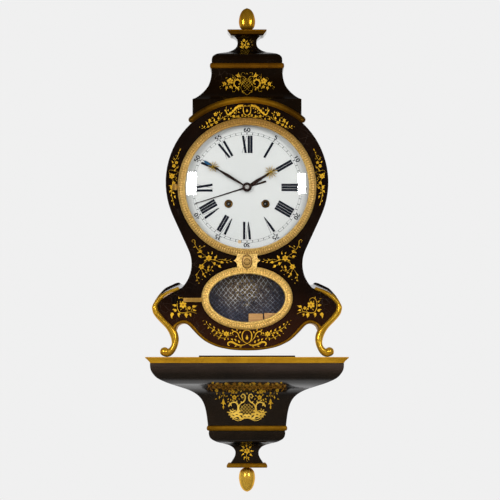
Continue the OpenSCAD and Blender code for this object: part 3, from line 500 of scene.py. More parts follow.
def glass():
    m = Mat("clear_glass")
    smear = m.noise(14.0, 4.0, 0.6)
    # a thin sheet: the share that is mirrored depends on the angle alone, the same from either side
    face = m.new("ShaderNodeLayerWeight")
    face.inputs["Blend"].default_value = 0.5
    ripple = m.noise(6.0, 2.0)
    nb = m.bump(ripple, 0.05, 0.002)
    m.put(face.inputs["Normal"], nb)
    fres = m.math("ADD", m.math("MULTIPLY", m.math("POWER", face.outputs["Facing"], 5.0), 0.85), 0.037, clamp=True)
    tr = m.new("ShaderNodeBsdfTransparent")
    m.put(tr.inputs["Color"], m.mix(m.remap(smear, 0.3, 0.7, 0.0, 1.0), (0.985, 0.990, 0.988), (0.972, 0.980, 0.978)))
    gl = m.new("ShaderNodeBsdfGlossy")
    gl.inputs["Color"].default_value = (1, 1, 1, 1)
    m.put(gl.inputs["Roughness"], m.remap(smear, 0.3, 0.8, 0.008, 0.03))
    m.put(gl.inputs["Normal"], nb)
    mx = m.new("ShaderNodeMixShader")
    m.put(mx.inputs[0], fres)
    m.put(mx.inputs[1], tr.outputs[0])
    m.put(mx.inputs[2], gl.outputs[0])
    m.put(m.out.inputs["Surface"], mx.outputs[0])
    return m.m


def painted_glow_mask(m):
    """The upper middle of the window: a painted glow and painted glints, standing in for light off the brass bob behind
    the net.
    """
    co = m.xyz()
    u = m.math("MULTIPLY", m.math("ADD", co[0], 0.006), 15.5)
    v = m.math("MULTIPLY", m.math("SUBTRACT", co[2], 0.186), 21.0)
    r = m.math("SQRT", m.math("ADD", m.math("MULTIPLY", u, u), m.math("MULTIPLY", v, v)))
    g = m.remap(m.math("ADD", r, m.math("MULTIPLY", m.noise(45.0, 4.0, 0.6), 0.7)), 0.35, 1.55, 1.0, 0.0)
    g.node.clamp = True
    return g


def wire():
    m = Mat("net_wire")
    n = m.noise(110.0, 4.0, 0.65)
    g = painted_glow_mask(m)
    base = m.mix(m.remap(n, 0.44, 0.66, 0.0, 1.0), (0.068, 0.072, 0.110), (0.27, 0.27, 0.32))
    # painted highlight: bright glints on the wires in the upper middle of the window
    painted_glint = m.math("MULTIPLY", m.remap(n, 0.42, 0.54, 0.0, 1.0), m.math("MULTIPLY", g, 1.5), clamp=True)
    base = m.mix(painted_glint, base, (0.86, 0.84, 0.80))
    m.bsdf(Base_Color=base, Metallic=0.35, Roughness=m.remap(n, 0.3, 0.7, 0.22, 0.40), Normal=m.bump(n, 0.2, 0.0003))
    return m.m


def gauze():
    m = Mat("net_gauze")
    n = m.noise(26.0, 4.0, 0.6)
    base = m.mix(m.remap(n, 0.35, 0.7, 0.0, 1.0), (0.035, 0.040, 0.066), (0.085, 0.088, 0.120))
    # painted glow: a brassy tint in the upper middle, standing in for light off the bob
    base = m.mix(m.math("MULTIPLY", painted_glow_mask(m), 0.95), base, (0.240, 0.150, 0.062))
    m.bsdf(Base_Color=base, Metallic=0.2, Roughness=m.remap(n, 0.3, 0.7, 0.35, 0.55), Normal=m.bump(n, 0.2, 0.0003))
    return m.m


def door_brass():
    """Cast and chased brass: granular, browner over the top of the dial."""
    m = Mat("door_brass")
    n = m.noise(300.0, 5.0, 0.6)
    g = m.noise(620.0, 2.0, 0.6)
    base = m.mix(m.remap(n, 0.3, 0.7, 0.0, 1.0), (0.83, 0.570, 0.196), (0.59, 0.385, 0.112))
    grain = m.remap(g, 0.47, 0.62, 0.0, 0.80)
    grain.node.clamp = True
    base = m.mix(grain, base, (0.32, 0.165, 0.034))
    coarse = m.remap(m.noise(330.0, 2.0, 0.5), 0.40, 0.60, 0.0, 1.0)
    coarse.node.clamp = True
    base = m.mix(1.0, base, m.mix(coarse, (0.78, 0.74, 0.62), (1.14, 1.14, 1.12)), "MULTIPLY")
    dirt = m.remap(m.noise(85.0, 5.0, 0.7), 0.60, 0.72, 0.0, 0.7)
    dirt.node.clamp = True
    base = m.mix(dirt, base, (0.24, 0.120, 0.028))
    top = m.remap(m.xyz()[2], 0.435, 0.500, 0.0, 1.0)
    top.node.clamp = True
    base = m.mix(top, base, (0.66, 0.57, 0.44), "MULTIPLY")
    oval = m.remap(m.xyz()[2], 0.228, 0.236, 1.0, 0.0)
    oval.node.clamp = True
    base = m.mix(oval, base, (1.30, 1.30, 1.24), "MULTIPLY")
    m.bsdf(Base_Color=base, Metallic=0.5, Roughness=m.remap(n, 0.3, 0.7, 0.28, 0.44), Normal=m.bump(g, 0.30, 0.0003))
    return m.m


def hinge_two():
    """Brass, blackened where the lower hinge sits on the ear."""
    m = Mat("hinge_two")
    co = m.xyz()
    n = m.noise(200.0, 4.0, 0.6)
    low = m.remap(co[2], 0.21, 0.23, 1.0, 0.0)
    low.node.clamp = True
    out = m.remap(co[0], -0.1275, -0.1265, 1.0, 0.0)
    out.node.clamp = True
    k = m.math("MULTIPLY", low, out, clamp=True)
    brass = m.mix(m.remap(n, 0.3, 0.7, 0.0, 1.0), (0.40, 0.228, 0.050), (0.30, 0.160, 0.031))
    base = m.mix(k, brass, (0.0028, 0.0013, 0.0007))
    rough = m.math("ADD", m.remap(n, 0.3, 0.7, 0.28, 0.42), m.math("MULTIPLY", k, 0.3))
    m.bsdf(Base_Color=base, Metallic=m.remap(k, 0.0, 1.0, 0.60, 0.0), Roughness=rough, Normal=m.bump(n, 0.15, 0.0003), Specular_IOR_Level=0.10)
    return m.m


M["hinge_two"] = hinge_two()
M["door_brass"] = door_brass()
M["brass_deep"] = metal("door_brass_deep", (0.30, 0.170, 0.040), (0.22, 0.115, 0.024), (0.30, 0.46), 0.5, (300, 300, 300), 0.5, (0.10, 0.05, 0.015), 0.3)
M["gauze"] = gauze()
# painted highlight: pale colour for the strip along the left moulding's inner edge
M["ground"] = metal("painted_highlight_ground", (0.66, 0.50, 0.40), (0.50, 0.34, 0.22), (0.45, 0.6), 0.0, (200, 200, 200), 0.5, (0.34, 0.16, 0.04), 0.3)
M["enamel"] = enamel()
M["dial_paint"] = dial_paint()
M["glass"] = glass()
M["wire"] = wire()

by_node = {
    "lacquer": ["front_panel", "side_left", "side_right", "floor_board"],
    "lacquer_hood": ["hood_block", "hood_flare", "hood_dome"],
    "lacquer_console": ["console_back", "console_shell", "console_top"],
    "lacquer_bowl": ["console_bowl"],
    "gilt_shelf": ["console_top_moulding"],
    "gilt_drop": ["console_drop"],
    "gilt_finial": ["hood_finial"],
    "gilt": ["console_mid_moulding", "console_base_plate", "apron_moulding"],
    "gilt_arch": ["arch_moulding"],
    "gilt_hood": ["hood_moulding"],
    "gilt_cap": ["hood_cap"],
    "gilt_bright": ["front_feet", "rear_feet"],
    "hinge_brass": ["hanger_plates", "back_door_button"],
    "collet_brass": ["winding_collets"],
    "hinge_two": ["hinge_lugs"],
    "door_brass": ["bezel_frame"],
    "boss_brass": ["rosette"],
    "case_wood": ["back_board", "back_door"],
    "light_wood": ["screen_blocks"],
    "wire": ["net_screen"],
    "enamel": ["dial_plate"],
    "glass": ["dial_glass", "window_glass"],
    "movement_brass": ["movement_plates", "suspension_cock", "going_barrel", "intermediate_wheel", "centre_wheel",
                       "minute_wheel", "hour_wheel", "third_wheel", "escape_wheel", "strike_barrel",
                       "strike_second_wheel", "pin_wheel", "strike_fly", "pendulum_bob", "rating_nut"],
    "square": ["going_winding_arbor", "strike_winding_arbor"],
    "steel": ["movement_frame", "pallet_anchor", "pendulum_rod",
              "strike_hammer"],
    "bell": ["strike_bell"],
    "blued": ["minute_hand", "hour_hand", "alarm_hand"],
}
for key, names in by_node.items():
    for n in names:
        for s in nodes[n].material_slots:
            s.material = M[key]

# ------------------------------------------------------------------ smooth shading of the CAD meshes


def clean_group(angle):
    """Welds the split corners of an imported solid and shades it smooth up to an angle."""
    g = bpy.data.node_groups.new("weld_and_shade_%d" % angle, "GeometryNodeTree")
    g.interface.new_socket("Geometry", in_out="INPUT", socket_type="NodeSocketGeometry")
    g.interface.new_socket("Geometry", in_out="OUTPUT", socket_type="NodeSocketGeometry")
    gi = g.nodes.new("NodeGroupInput")
    go = g.nodes.new("NodeGroupOutput")
    mg = g.nodes.new("GeometryNodeMergeByDistance")
    mg.inputs["Distance"].default_value = 0.000012
    rm = g.nodes.new("GeometryNodeRemoveAttribute")
    rm.inputs["Name"].default_value = "custom_normal"
    s1 = g.nodes.new("GeometryNodeSetShadeSmooth")
    s1.domain = "FACE"
    s1.inputs["Shade Smooth"].default_value = True
    s2 = g.nodes.new("GeometryNodeSetShadeSmooth")
    s2.domain = "EDGE"
    s2.inputs["Shade Smooth"].default_value = False
    ea = g.nodes.new("GeometryNodeInputMeshEdgeAngle")
    cmp_ = g.nodes.new("FunctionNodeCompare")
    cmp_.data_type = "FLOAT"
    cmp_.operation = "GREATER_THAN"
    cmp_.inputs[1].default_value = math.radians(angle)
    g.links.new(gi.outputs[0], mg.inputs["Geometry"])
    g.links.new(mg.outputs[0], rm.inputs["Geometry"])
    g.links.new(rm.outputs[0], s1.inputs["Geometry"])
    g.links.new(s1.outputs[0], s2.inputs["Geometry"])
    g.links.new(ea.outputs["Unsigned Angle"], cmp_.inputs[0])
    g.links.new(cmp_.outputs[0], s2.inputs["Selection"])
    g.links.new(s2.outputs[0], go.inputs[0])
    return g


CLEAN = clean_group(32)


def refine(node, bevel=0.0, segments=3, limit=32):
    """Modifiers only: the CAD mesh itself stays as it is."""
    o = nodes[node]
    gm = o.modifiers.new("clean", "NODES")
    gm.node_group = CLEAN
    if bevel:
        dm = o.modifiers.new("planar", "DECIMATE")
        dm.decimate_type = "DISSOLVE"
        dm.angle_limit = math.radians(0.6)
        bm_ = o.modifiers.new("edge", "BEVEL")
        bm_.width = bevel * 0.001
        bm_.segments = segments
        bm_.limit_method = "ANGLE"
        bm_.angle_limit = math.radians(limit)
        bm_.harden_normals = False
        bm_.miter_outer = "MITER_ARC"
        gm2 = o.modifiers.new("shade", "NODES")
        gm2.node_group = CLEAN


bevels = {
    "front_panel": 0.8, "hood_block": 1.0, "hood_flare": 0.9, "hood_dome": 0.9, "console_shell": 0.9,
    "console_bowl": 0.9, "console_top": 0.6, "hood_moulding": 0.7, "hood_cap": 0.6, "console_top_moulding": 0.7,
    "console_mid_moulding": 0.6, "console_base_plate": 0.7, "apron_moulding": 1.0, "rosette": 0.3,
    "back_door": 0.8, "screen_blocks": 0.7, "hanger_plates": 0.3, "back_door_button": 0.4,
    "console_back": 0.5,
}
for n in nodes:
    refine(n, bevels.get(n, 0.0))

# ------------------------------------------------------------------ mesh tools
MM = 0.001
SHELF = 40.0


class Soup:
    """Collects corners and faces in millimetres: x, depth from the wall, height over the shelf."""

    def __init__(self):
        self.v = []
        self.f = []
        self.mi = []
        self.mat = 0

    def add(self, pts):
        b = len(self.v)
        self.v += [tuple(p) for p in pts]
        return b

    def face(self, *idx):
        self.f.append(idx)
        self.mi.append(self.mat)

    def obj(self, name, mats, body, slot, smooth=40, hides=()):
        me = bpy.data.meshes.new(name)
        me.from_pydata([(x * MM, -d * MM, (z + SHELF) * MM) for x, d, z in self.v], [], self.f)
        for m in mats:
            me.materials.append(m)
        me.polygons.foreach_set("material_index", self.mi)
        me.update()
        import bmesh
        bm = bmesh.new()
        bm.from_mesh(me)
        bmesh.ops.recalc_face_normals(bm, faces=bm.faces)
        bm.to_mesh(me)
        bm.free()
        me.shade_smooth()
        me.set_sharp_from_angle(angle=math.radians(smooth))
        o = bpy.data.objects.new(name, me)
        scene.collection.objects.link(o)
        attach(o, body)
        if hides:
            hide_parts(*hides)
        return o

    # a closed ring of sections: each section is a list of points of the same length
    def skin(self, sections, closed=False, caps=True, ring=True):
        k = len(sections[0])
        bases = [self.add(s) for s in sections]
        n = len(sections)
        for i in range(n if closed else n - 1):
            a, b = bases[i], bases[(i + 1) % n]
            for j in range(k if ring else k - 1):
                j2 = (j + 1) % k
                self.face(a + j, a + j2, b + j2, b + j)
        if caps and not closed and ring:
            self.face(*[bases[0] + j for j in range(k)][::-1])
            self.face(*[bases[-1] + j for j in range(k)])

    def lathe_d(self, x, z, prof, n, a0=0.0, a1=360.0):
        """Turns (radius, depth) points about the depth axis at x, z. The profile is a closed loop."""
        full = abs(a1 - a0) >= 359.99
        secs = []
        for i in range(n if full else n + 1):
            a = math.radians(a0 + (a1 - a0) * i / n)
            secs.append([(x + r * math.sin(a), d, z + r * math.cos(a)) for r, d in prof])
        self.skin(secs, closed=full)

    def lathe_z(self, x, d, prof, n):
        secs = []
        for i in range(n):
            a = 2 * math.pi * i / n
            secs.append([(x + r * math.sin(a), d + r * math.cos(a), z) for r, z in prof])
        self.skin(secs, closed=True)

    def tube(self, pts, r, sides=8, closed=False, r_of=None):
        n = len(pts)
        P = [Vector(p) for p in pts]
        T = []
        for i in range(n):
            if closed:
                t = P[(i + 1) % n] - P[i - 1]
            else:
                t = P[min(i + 1, n - 1)] - P[max(i - 1, 0)]
            T.append(t.normalized())
        up = Vector((0, 1, 0)) if abs(T[0].y) < 0.9 else Vector((1, 0, 0))
        nrm = (up - T[0] * up.dot(T[0])).normalized()
        secs = []
        for i in range(n):
            nrm = (nrm - T[i] * nrm.dot(T[i])).normalized()
            b = T[i].cross(nrm)
            rr = r_of(i / (n - 1)) if r_of else r
            secs.append([tuple(P[i] + rr * (math.cos(2 * math.pi * j / sides) * nrm + math.sin(2 * math.pi * j / sides) * b))
                         for j in range(sides)])
        self.skin(secs, closed=closed)

    def plate(self, poly, d0, d1, chamfer=0.0, put=None):
        """An outline in x, z made solid between two depths, its front edge eased by a chamfer."""
        put = put or (lambda x, z, d: (x, d, z))
        n = len(poly)
        area = sum(poly[i][0] * poly[(i + 1) % n][1] - poly[(i + 1) % n][0] * poly[i][1] for i in range(n))
        if area < 0:
            poly = poly[::-1]
        rings = [(0.0, d0), (0.0, d1 - chamfer)]
        if chamfer:
            rings += [(chamfer * 0.3, d1 - chamfer * 0.3), (chamfer, d1)]
        bases = []
        for off, d in rings:
            pts = []
            for i in range(n):
                a, b, c = poly[i - 1], poly[i], poly[(i + 1) % n]
                n1 = Vector((-(b[1] - a[1]), b[0] - a[0])).normalized()
                n2 = Vector((-(c[1] - b[1]), c[0] - b[0])).normalized()
                m = n1 + n2
                m = m / max(m.length_squared, 0.5) * 1.0 if m.length > 1e-6 else n1 * 0.5
                m = m * 2.0 if False else m
                s = off * 2.0 / max((n1 + n2).length_squared, 0.8) if (n1 + n2).length > 1e-6 else off
                q = (b[0] + (n1 + n2).x * s * 1.0, b[1] + (n1 + n2).y * s * 1.0)
                pts.append(put(q[0], q[1], d))
            bases.append(self.add(pts))
        for a, b in zip(bases, bases[1:]):
            for i in range(n):
                j = (i + 1) % n
                self.face(a + i, a + j, b + j, b + i)
        tris = tessellate_polygon([[Vector((p[0], p[1], 0)) for p in poly]])
        for t in tris:
            self.face(bases[0] + t[0], bases[0] + t[2], bases[0] + t[1])
            self.face(bases[-1] + t[0], bases[-1] + t[1], bases[-1] + t[2])


def crom(P, k, closed=False):
    """Points along a smooth line through P."""
    out = []
    n = len(P)
    seg = n if closed else n - 1
    for i in range(seg):
        if closed:
            a, b, c, d = P[(i - 1) % n], P[i], P[(i + 1) % n], P[(i + 2) % n]
        else:
            a, b, c, d = P[max(i - 1, 0)], P[i], P[i + 1], P[min(i + 2, n - 1)]
        for j in range(k):
            t = j / k
            out.append(tuple(0.5 * (2 * b[q] + (c[q] - a[q]) * t + (2 * a[q] - 5 * b[q] + 4 * c[q] - d[q]) * t * t
                                    + (3 * b[q] - a[q] - 3 * c[q] + d[q]) * t * t * t) for q in range(len(b))))
    if not closed:
        out.append(tuple(P[-1]))
    return out


def arc2(cx, cz, r, a0, a1, n):
    return [(cx + r * math.cos(math.radians(a0 + (a1 - a0) * i / n)), cz + r * math.sin(math.radians(a0 + (a1 - a0) * i / n)))
            for i in range(n + 1)]


DIAL_Z = 340.0
OVAL_Z = 118.0

# ------------------------------------------------------------------ dial


def dial_depth(r):
    return 142.0 - 7.0 * r * r / (125.5 * 125.5)


def clock(ang, r, u):
    """Across (u) and out (r) along the hour line at a clock angle, as x, z from the dial's centre."""
    a = math.radians(ang)
    return (r * math.sin(a) + u * math.cos(a), r * math.cos(a) - u * math.sin(a))


def paint_strip(s, rows, h=0.13):
    """A raised strip of fired paint. rows are pairs of x, z points from the dial's centre."""
    secs = []
    for (ax, az), (bx, bz) in rows:
        da, db = dial_depth(math.hypot(ax, az)), dial_depth(math.hypot(bx, bz))
        secs.append([(ax, da - 0.12, DIAL_Z + az), (ax, da + h, DIAL_Z + az),
                     (bx, db + h, DIAL_Z + bz), (bx, db - 0.12, DIAL_Z + bz)])
    s.skin(secs)


def roman_bar(s, ang, u_in, u_out, w_in, w_out, r0=69.0, r1=104.4, n=7):
    rows = []
    for i in range(n + 1):
        t = i / n
        r = r0 + (r1 - r0) * t
        u = u_in + (u_out - u_in) * t
        w = w_in + (w_out - w_in) * min(1.0, t * 1.8)
        rows.append((clock(ang, r, u - w / 2), clock(ang, r, u + w / 2)))
    paint_strip(s, rows)


def roman(s, ang, text):
    widths = {"I": 5.2, "V": 11.4, "X": 12.4}
    total = sum(widths[c] for c in text)
    u = -total / 2
    for c in text:
        m = u + widths[c] / 2
        if c == "I":
            roman_bar(s, ang, m, m, 4.75, 4.75)
        elif c == "V":
            roman_bar(s, ang, m - 0.2, m - 3.2, 1.2, 4.9)
            roman_bar(s, ang, m + 0.3, m + 4.4, 0.7, 0.7)
        else:
            roman_bar(s, ang, m + 2.7, m - 2.9, 4.8, 4.8)
            roman_bar(s, ang, m - 4.4, m + 4.4, 0.7, 0.7)
        u += widths[c]


DIGITS = {
    "0": [[(0.5, 0.0), (0.12, 0.18), (0.0, 0.5), (0.12, 0.82), (0.5, 1.0), (0.88, 0.82), (1.0, 0.5), (0.88, 0.18), (0.5, 0.0)]],
    "1": [[(0.15, 0.78), (0.55, 1.0), (0.55, 0.0)]],
    "2": [[(0.05, 0.78), (0.28, 0.97), (0.62, 0.98), (0.88, 0.80), (0.84, 0.55), (0.45, 0.25), (0.05, 0.02), (0.95, 0.02)]],
    "3": [[(0.08, 0.85), (0.40, 1.0), (0.80, 0.90), (0.84, 0.66), (0.45, 0.53), (0.88, 0.40), (0.92, 0.14), (0.52, 0.0), (0.05, 0.12)]],
    "4": [[(0.72, 0.0), (0.72, 1.0), (0.02, 0.30), (1.0, 0.30)]],
    "5": [[(0.88, 0.98), (0.22, 0.98), (0.14, 0.56), (0.50, 0.64), (0.88, 0.46), (0.90, 0.16), (0.50, 0.0), (0.06, 0.10)]],
    "6": [[(0.85, 0.92), (0.48, 0.98), (0.12, 0.62), (0.06, 0.26), (0.42, 0.0), (0.86, 0.12), (0.90, 0.42), (0.52, 0.58), (0.12, 0.40)]],
}


def small_number(s, ang, text, r_mid=115.8, h=7.4, w=4.7, gap=2.3):
    total = len(text) * w + (len(text) - 1) * gap
    u0 = -total / 2
    for ch in text:
        for line in DIGITS[ch]:
            smooth = crom(line, 3) if ch in "023569" else line
            pts = [(u0 + p[0] * w, r_mid - h / 2 + p[1] * h) for p in smooth]
            rows = []
            for i, p in enumerate(pts):
                a, b = pts[max(i - 1, 0)], pts[min(i + 1, len(pts) - 1)]
                t = Vector((b[0] - a[0], b[1] - a[1]))
                if t.length < 1e-6:
                    continue
                t.normalize()
                # upright strokes are thick, level ones thin
                wd = 1.10 + 1.10 * abs(t.y)
                q = (-t.y * wd / 2, t.x * wd / 2)
                rows.append((clock(ang, p[1] + q[1], p[0] + q[0]), clock(ang, p[1] - q[1], p[0] - q[0])))
            paint_strip(s, rows, 0.10)
        u0 += w + gap


paint = Soup()
for i, t in enumerate(["XII", "I", "II", "III", "IIII", "V", "VI", "VII", "VIII", "IX", "X", "XI"]):
    roman(paint, 30.0 * i, t)
for i in range(12):
    small_number(paint, 30.0 * i, "60" if i == 0 else str(5 * i))
for i in range(60):
    five = i % 5 == 0
    w = 1.6 if five else 1.15
    roman_bar(paint, 6.0 * i, 0, 0, w, w, 106.5, 111.2, 1)
for ring_r in (106.5, 111.0):
    ringp = []
    for i in range(241):
        a = i * 1.5
        ringp.append((clock(a, ring_r - 0.2, 0), clock(a, ring_r + 0.2, 0)))
    paint_strip(paint, ringp, 0.08)
paint.obj("dial_numerals", [M["dial_paint"]], "clock_case", "enamel", 30)

# brass bush with its steel pin, low on the chapter ring
bush = Soup()
bd = dial_depth(110.0)
bush.lathe_d(-15.0, DIAL_Z - 109.0, [(0.01, bd - 0.3), (3.3, bd - 0.3), (3.4, bd + 0.2), (3.1, bd + 0.5), (2.5, bd + 0.6), (1.9, bd + 0.35), (1.4, bd + 0.35), (0.8, bd + 0.6), (0.01, bd + 0.7)], 32)
bush.obj("dial_pin", [M["pin_brass"]], "clock_case", "hinge_brass")

# ------------------------------------------------------------------ hands


def hand_frame(ang, d):
    a = math.radians(ang)
    def put(u, r, dd):
        return (r * math.sin(a) + u * math.cos(a), d + dd, DIAL_Z + r * math.cos(a) - u * math.sin(a))
    return put


def blade(s, ang, d, stations, thick):
    """A hand's arm: stations are distance, half width. The front is crowned."""
    put = hand_frame(ang, d)
    secs = []
    for r, w in stations:
        secs.append([put(-w, r, 0.0), put(-w, r, thick * 0.55), put(-w * 0.55, r, thick * 0.95), put(0, r, thick),
                     put(w * 0.55, r, thick * 0.95), put(w, r, thick * 0.55), put(w, r, 0.0)])
    s.skin(secs)


def sun_rays(s, ang, d, r_at, r_ring, r_in, r_out, n, thick):
    """A pierced sun: a ring, pointed rays with open gaps between them, alternate ones shorter."""
    put = hand_frame(ang, d)
    prof = [(r_in, 0.1), (r_in, thick * 0.7), ((r_in + r_ring) / 2, thick), (r_ring, thick * 0.7), (r_ring, 0.1)]
    secs = []
    for i in range(48):
        b = 2 * math.pi * i / 48
        secs.append([put(rr * math.sin(b), r_at + rr * math.cos(b), dd) for rr, dd in prof])
    s.skin(secs, closed=True)
    for i in range(n):
        b = 2 * math.pi * (i + 0.5) / n
        L = r_out * (1.0, 0.88, 0.97, 0.84)[i % 4]
        secs = []
        for t, w in ((0.0, 0.55), (0.25, 0.78), (0.55, 0.80), (0.84, 0.58), (1.0, 0.12)):
            rr = r_ring - 0.4 + (L - r_ring + 0.4) * t
            cx, cy = rr * math.sin(b), r_at + rr * math.cos(b)
            ux, uy = math.cos(b), -math.sin(b)
            h = thick * (0.9 - 0.45 * t)
            secs.append([put(cx - ux * w, cy - uy * w, 0.15), put(cx - ux * w, cy - uy * w, 0.15 + h * 0.45), put(cx, cy, 0.15 + h),
                         put(cx + ux * w, cy + uy * w, 0.15 + h * 0.45), put(cx + ux * w, cy + uy * w, 0.15)])
        s.skin(secs)


hand_dark = metal("hand_steel", (0.018, 0.0105, 0.009), (0.034, 0.016, 0.012), (0.22, 0.36), 0.6, (400, 400, 400), 0.25, (0.06, 0.02, 0.01), 0.1)
# blued steel blade: its sheen is painted in as a bright blue colour, a painted highlight
hand_blue_painted_sheen = metal("hand_blue_painted_sheen", (0.050, 0.200, 0.390), (0.020, 0.070, 0.190), (0.16, 0.28), 0.7, (500, 500, 500), 0.2, (0.01, 0.012, 0.02), 0.1)
hand_gold = gilding("hand_gold", (0.56, 0.35, 0.036), (0.38, 0.22, 0.018), (0.12, 0.055, 0.008), 0.6, (0.24, 0.38), 0.35, 0.5)
hand_end = metal("arbor_end", (0.62, 0.60, 0.58), (0.42, 0.40, 0.38), (0.22, 0.36), 0.5, (500, 500, 500), 0.5, (0.05, 0.03, 0.02), 0.2)

HM, HH, HA = 301.4, 57.7, 252.6
mh = Soup()
mh.mat = 0
mh.lathe_d(0, DIAL_Z, [(3.4, 148.6), (8.0, 148.6), (8.0, 149.8), (9.3, 149.8), (9.5, 150.3), (9.4, 151.2), (8.6, 152.6),
                       (7.0, 153.8), (5.4, 154.4), (4.6, 154.3), (4.4, 153.6), (3.4, 153.4)], 64)
mh.mat = 3
mh.lathe_d(0, DIAL_Z, [(1.98, 149.0), (4.2, 149.0), (4.2, 153.9), (3.8, 154.5), (3.0, 154.8), (2.2, 154.7), (1.98, 154.3)], 40)
mh.lathe_d(0, DIAL_Z, [(0.01, 154.05), (2.02, 154.05), (2.02, 154.3), (1.2, 154.6), (0.01, 154.66)], 24)
mh.mat = 0
blade(mh, HM, 148.7, [(6.5, 1.8), (14, 1.85), (26, 2.3), (38, 2.85), (47, 2.9), (56, 2.3), (66, 1.6), (73, 1.3), (79, 1.2), (80.5, 0.3)], 1.0)
mh.mat = 1
blade(mh, HM, 148.7, [(82.5, 0.9), (85.4, 1.7), (88.0, 2.5), (92, 2.8), (97, 2.6), (99.6, 1.9), (100.8, 0.7)], 1.0)
mh.mat = 0
blade(mh, HM, 148.75, [(99.6, 0.5), (103, 0.42), (107, 0.32), (109, 0.12)], 0.8)
mh.mat = 2
sun_rays(mh, HM, 148.65, 79.0, 2.5, 0.9, 12.0, 11, 0.95)
mh.obj("minute_hand_cut", [hand_dark, hand_blue_painted_sheen, hand_gold, hand_end], "minute_arbor", "blued_steel", 40, ["minute_hand"])

hh = Soup()
hh.mat = 0
hh.lathe_d(0, DIAL_Z, [(3.64, 145.4), (8.0, 145.4), (8.0, 146.3), (7.7, 146.6), (3.64, 146.6)], 56)
blade(hh, HH, 145.5, [(5.8, 2.4), (13, 2.9), (21, 3.4), (29, 3.2), (37, 2.5), (45, 1.8), (51, 1.4), (56.5, 1.2), (58.5, 0.3)], 1.0)
blade(hh, HH, 145.5, [(60.5, 0.6), (64, 0.95), (68, 1.15), (70.4, 0.7), (72, 0.12)], 0.95)
hh.mat = 1
sun_rays(hh, HH, 145.5, 56.5, 2.8, 1.0, 14.6, 12, 0.95)
hh.obj("hour_hand_cut", [hand_dark, hand_gold], "hour_pipe", "blued_steel", 40, ["hour_hand"])

# ------------------------------------------------------------------ glass
gs = Soup()
R_G = (125.8 * 125.8 + 18.0 * 18.0) / 36.0
out_p = [(125.8 * i / 40, 154 + math.sqrt(R_G * R_G - (125.8 * i / 40) ** 2) - R_G + 18.0) for i in range(41)]
in_p = [(r, d - 2.0) for r, d in out_p[::-1]]
out_p[0] = (0.02, out_p[0][1])
in_p[-1] = (0.02, in_p[-1][1])
gs.lathe_d(0, DIAL_Z, out_p + in_p, 160)
gs.obj("dial_glass_dome", [M["glass"]], "front_door", "clear_glass", 50, ["dial_glass"])

# ------------------------------------------------------------------ bezels
# Section of the round bezel, outward from the sight edge: offset from the edge, depth.
BEZEL = [(2.6, 150.4), (15.0, 150.4), (15.3, 150.9), (15.3, 152.2), (14.9, 153.2), (14.2, 153.9), (13.6, 154.6), (13.3, 155.5),
         (12.4, 156.7), (11.2, 157.5), (10.4, 157.9), (9.9, 157.4), (8.6, 157.2), (6.6, 157.3), (5.4, 157.9), (4.9, 158.7),
         (3.9, 159.6), (2.7, 159.9), (1.6, 159.5), (0.7, 158.3), (0.1, 156.9), (0.0, 155.4), (0.3, 154.75), (2.6, 154.7)]
REED = {7: 0.16, 8: 0.30, 9: 0.34, 10: 0.16, 16: 0.18, 17: 0.26, 18: 0.18}


def ring_sections(n, at):
    """at(i/n) gives x, z and the outward normal. Reeds run across the outer slope."""
    secs = []
    for i in range(n):
        x, z, nx, nz = at(i / n)
        wob = 0.5 - 0.5 * math.cos(2 * math.pi * i / 6.0)
        sec = []
        for j, (o, d) in enumerate(BEZEL):
            dd = d + REED.get(j, 0.0) * (wob - 0.5) * 2
            sec.append((x + nx * o, dd, z + nz * o))
        secs.append(sec)
    return secs


def circle_at(t):
    a = 2 * math.pi * t
    return (123.5 * math.sin(a), DIAL_Z + 123.5 * math.cos(a), math.sin(a), math.cos(a))


# the oval's outline by equal steps of length
OV_A, OV_B = 76.0, 48.0
_pts = [(OV_A * math.sin(2 * math.pi * i / 2880), OV_B * math.cos(2 * math.pi * i / 2880)) for i in range(2881)]
_len = [0.0]
for p, q in zip(_pts, _pts[1:]):
    _len.append(_len[-1] + math.hypot(q[0] - p[0], q[1] - p[1]))
OV_LEN = _len[-1]


def oval_at(t):
    target = (t % 1.0) * OV_LEN
    lo, hi = 0, 2880
    while hi - lo > 1:
        m = (lo + hi) // 2
        if _len[m] <= target:
            lo = m
        else:
            hi = m
    f = (target - _len[lo]) / (_len[hi] - _len[lo])
    a = 2 * math.pi * (lo + f) / 2880
    x, z = OV_A * math.sin(a), OV_B * math.cos(a)
    nx, nz = math.sin(a) / OV_A, math.cos(a) / OV_B
    k = math.hypot(nx, nz)
    return (x, OVAL_Z + z, nx / k, nz / k)


def beads(s, n, at, off, d, r, squash=0.8):
    for i in range(n):
        x, z, nx, nz = at((i + 0.5) / n)
        cx, cz = x + nx * off, z + nz * off
        tx, tz = -nz, nx
        secs = []
        for k in range(8):
            b = 2 * math.pi * k / 8
            col = []
            for e in (0, 30, 60):
                ce, se = math.cos(math.radians(e)), math.sin(math.radians(e))
                u, v = r * ce * math.cos(b), r * ce * math.sin(b)
                col.append((cx + nx * u + tx * v, d + r * squash * se, cz + nz * u + tz * v))
            secs.append(col)
        base = [s.add(c) for c in secs]
        top = s.add([(cx, d + r * squash, cz)])
        for k in range(8):
            a, b2 = base[k], base[(k + 1) % 8]
            for q in range(2):
                s.face(a + q, b2 + q, b2 + q + 1, a + q + 1)
            s.face(a + 2, b2 + 2, top)
        s.face(*[b for b in base][::-1])


def ribs(soup, n, wide):
    """Between two beads the metal lies deeper and has kept its tarnish."""
    k = len(BEZEL)
    for q in range(n * k):
        i, j = q // k, q % k
        low = i % 6 in ((0, 5) if wide else (0,))
        if (low and j in ((8, 9, 11, 12, 13) if wide else (9, 11, 12))) or (j == 10 and wide) or (wide and i % 3 == 0 and j in (16, 17)):
            soup.mi[q] = 1


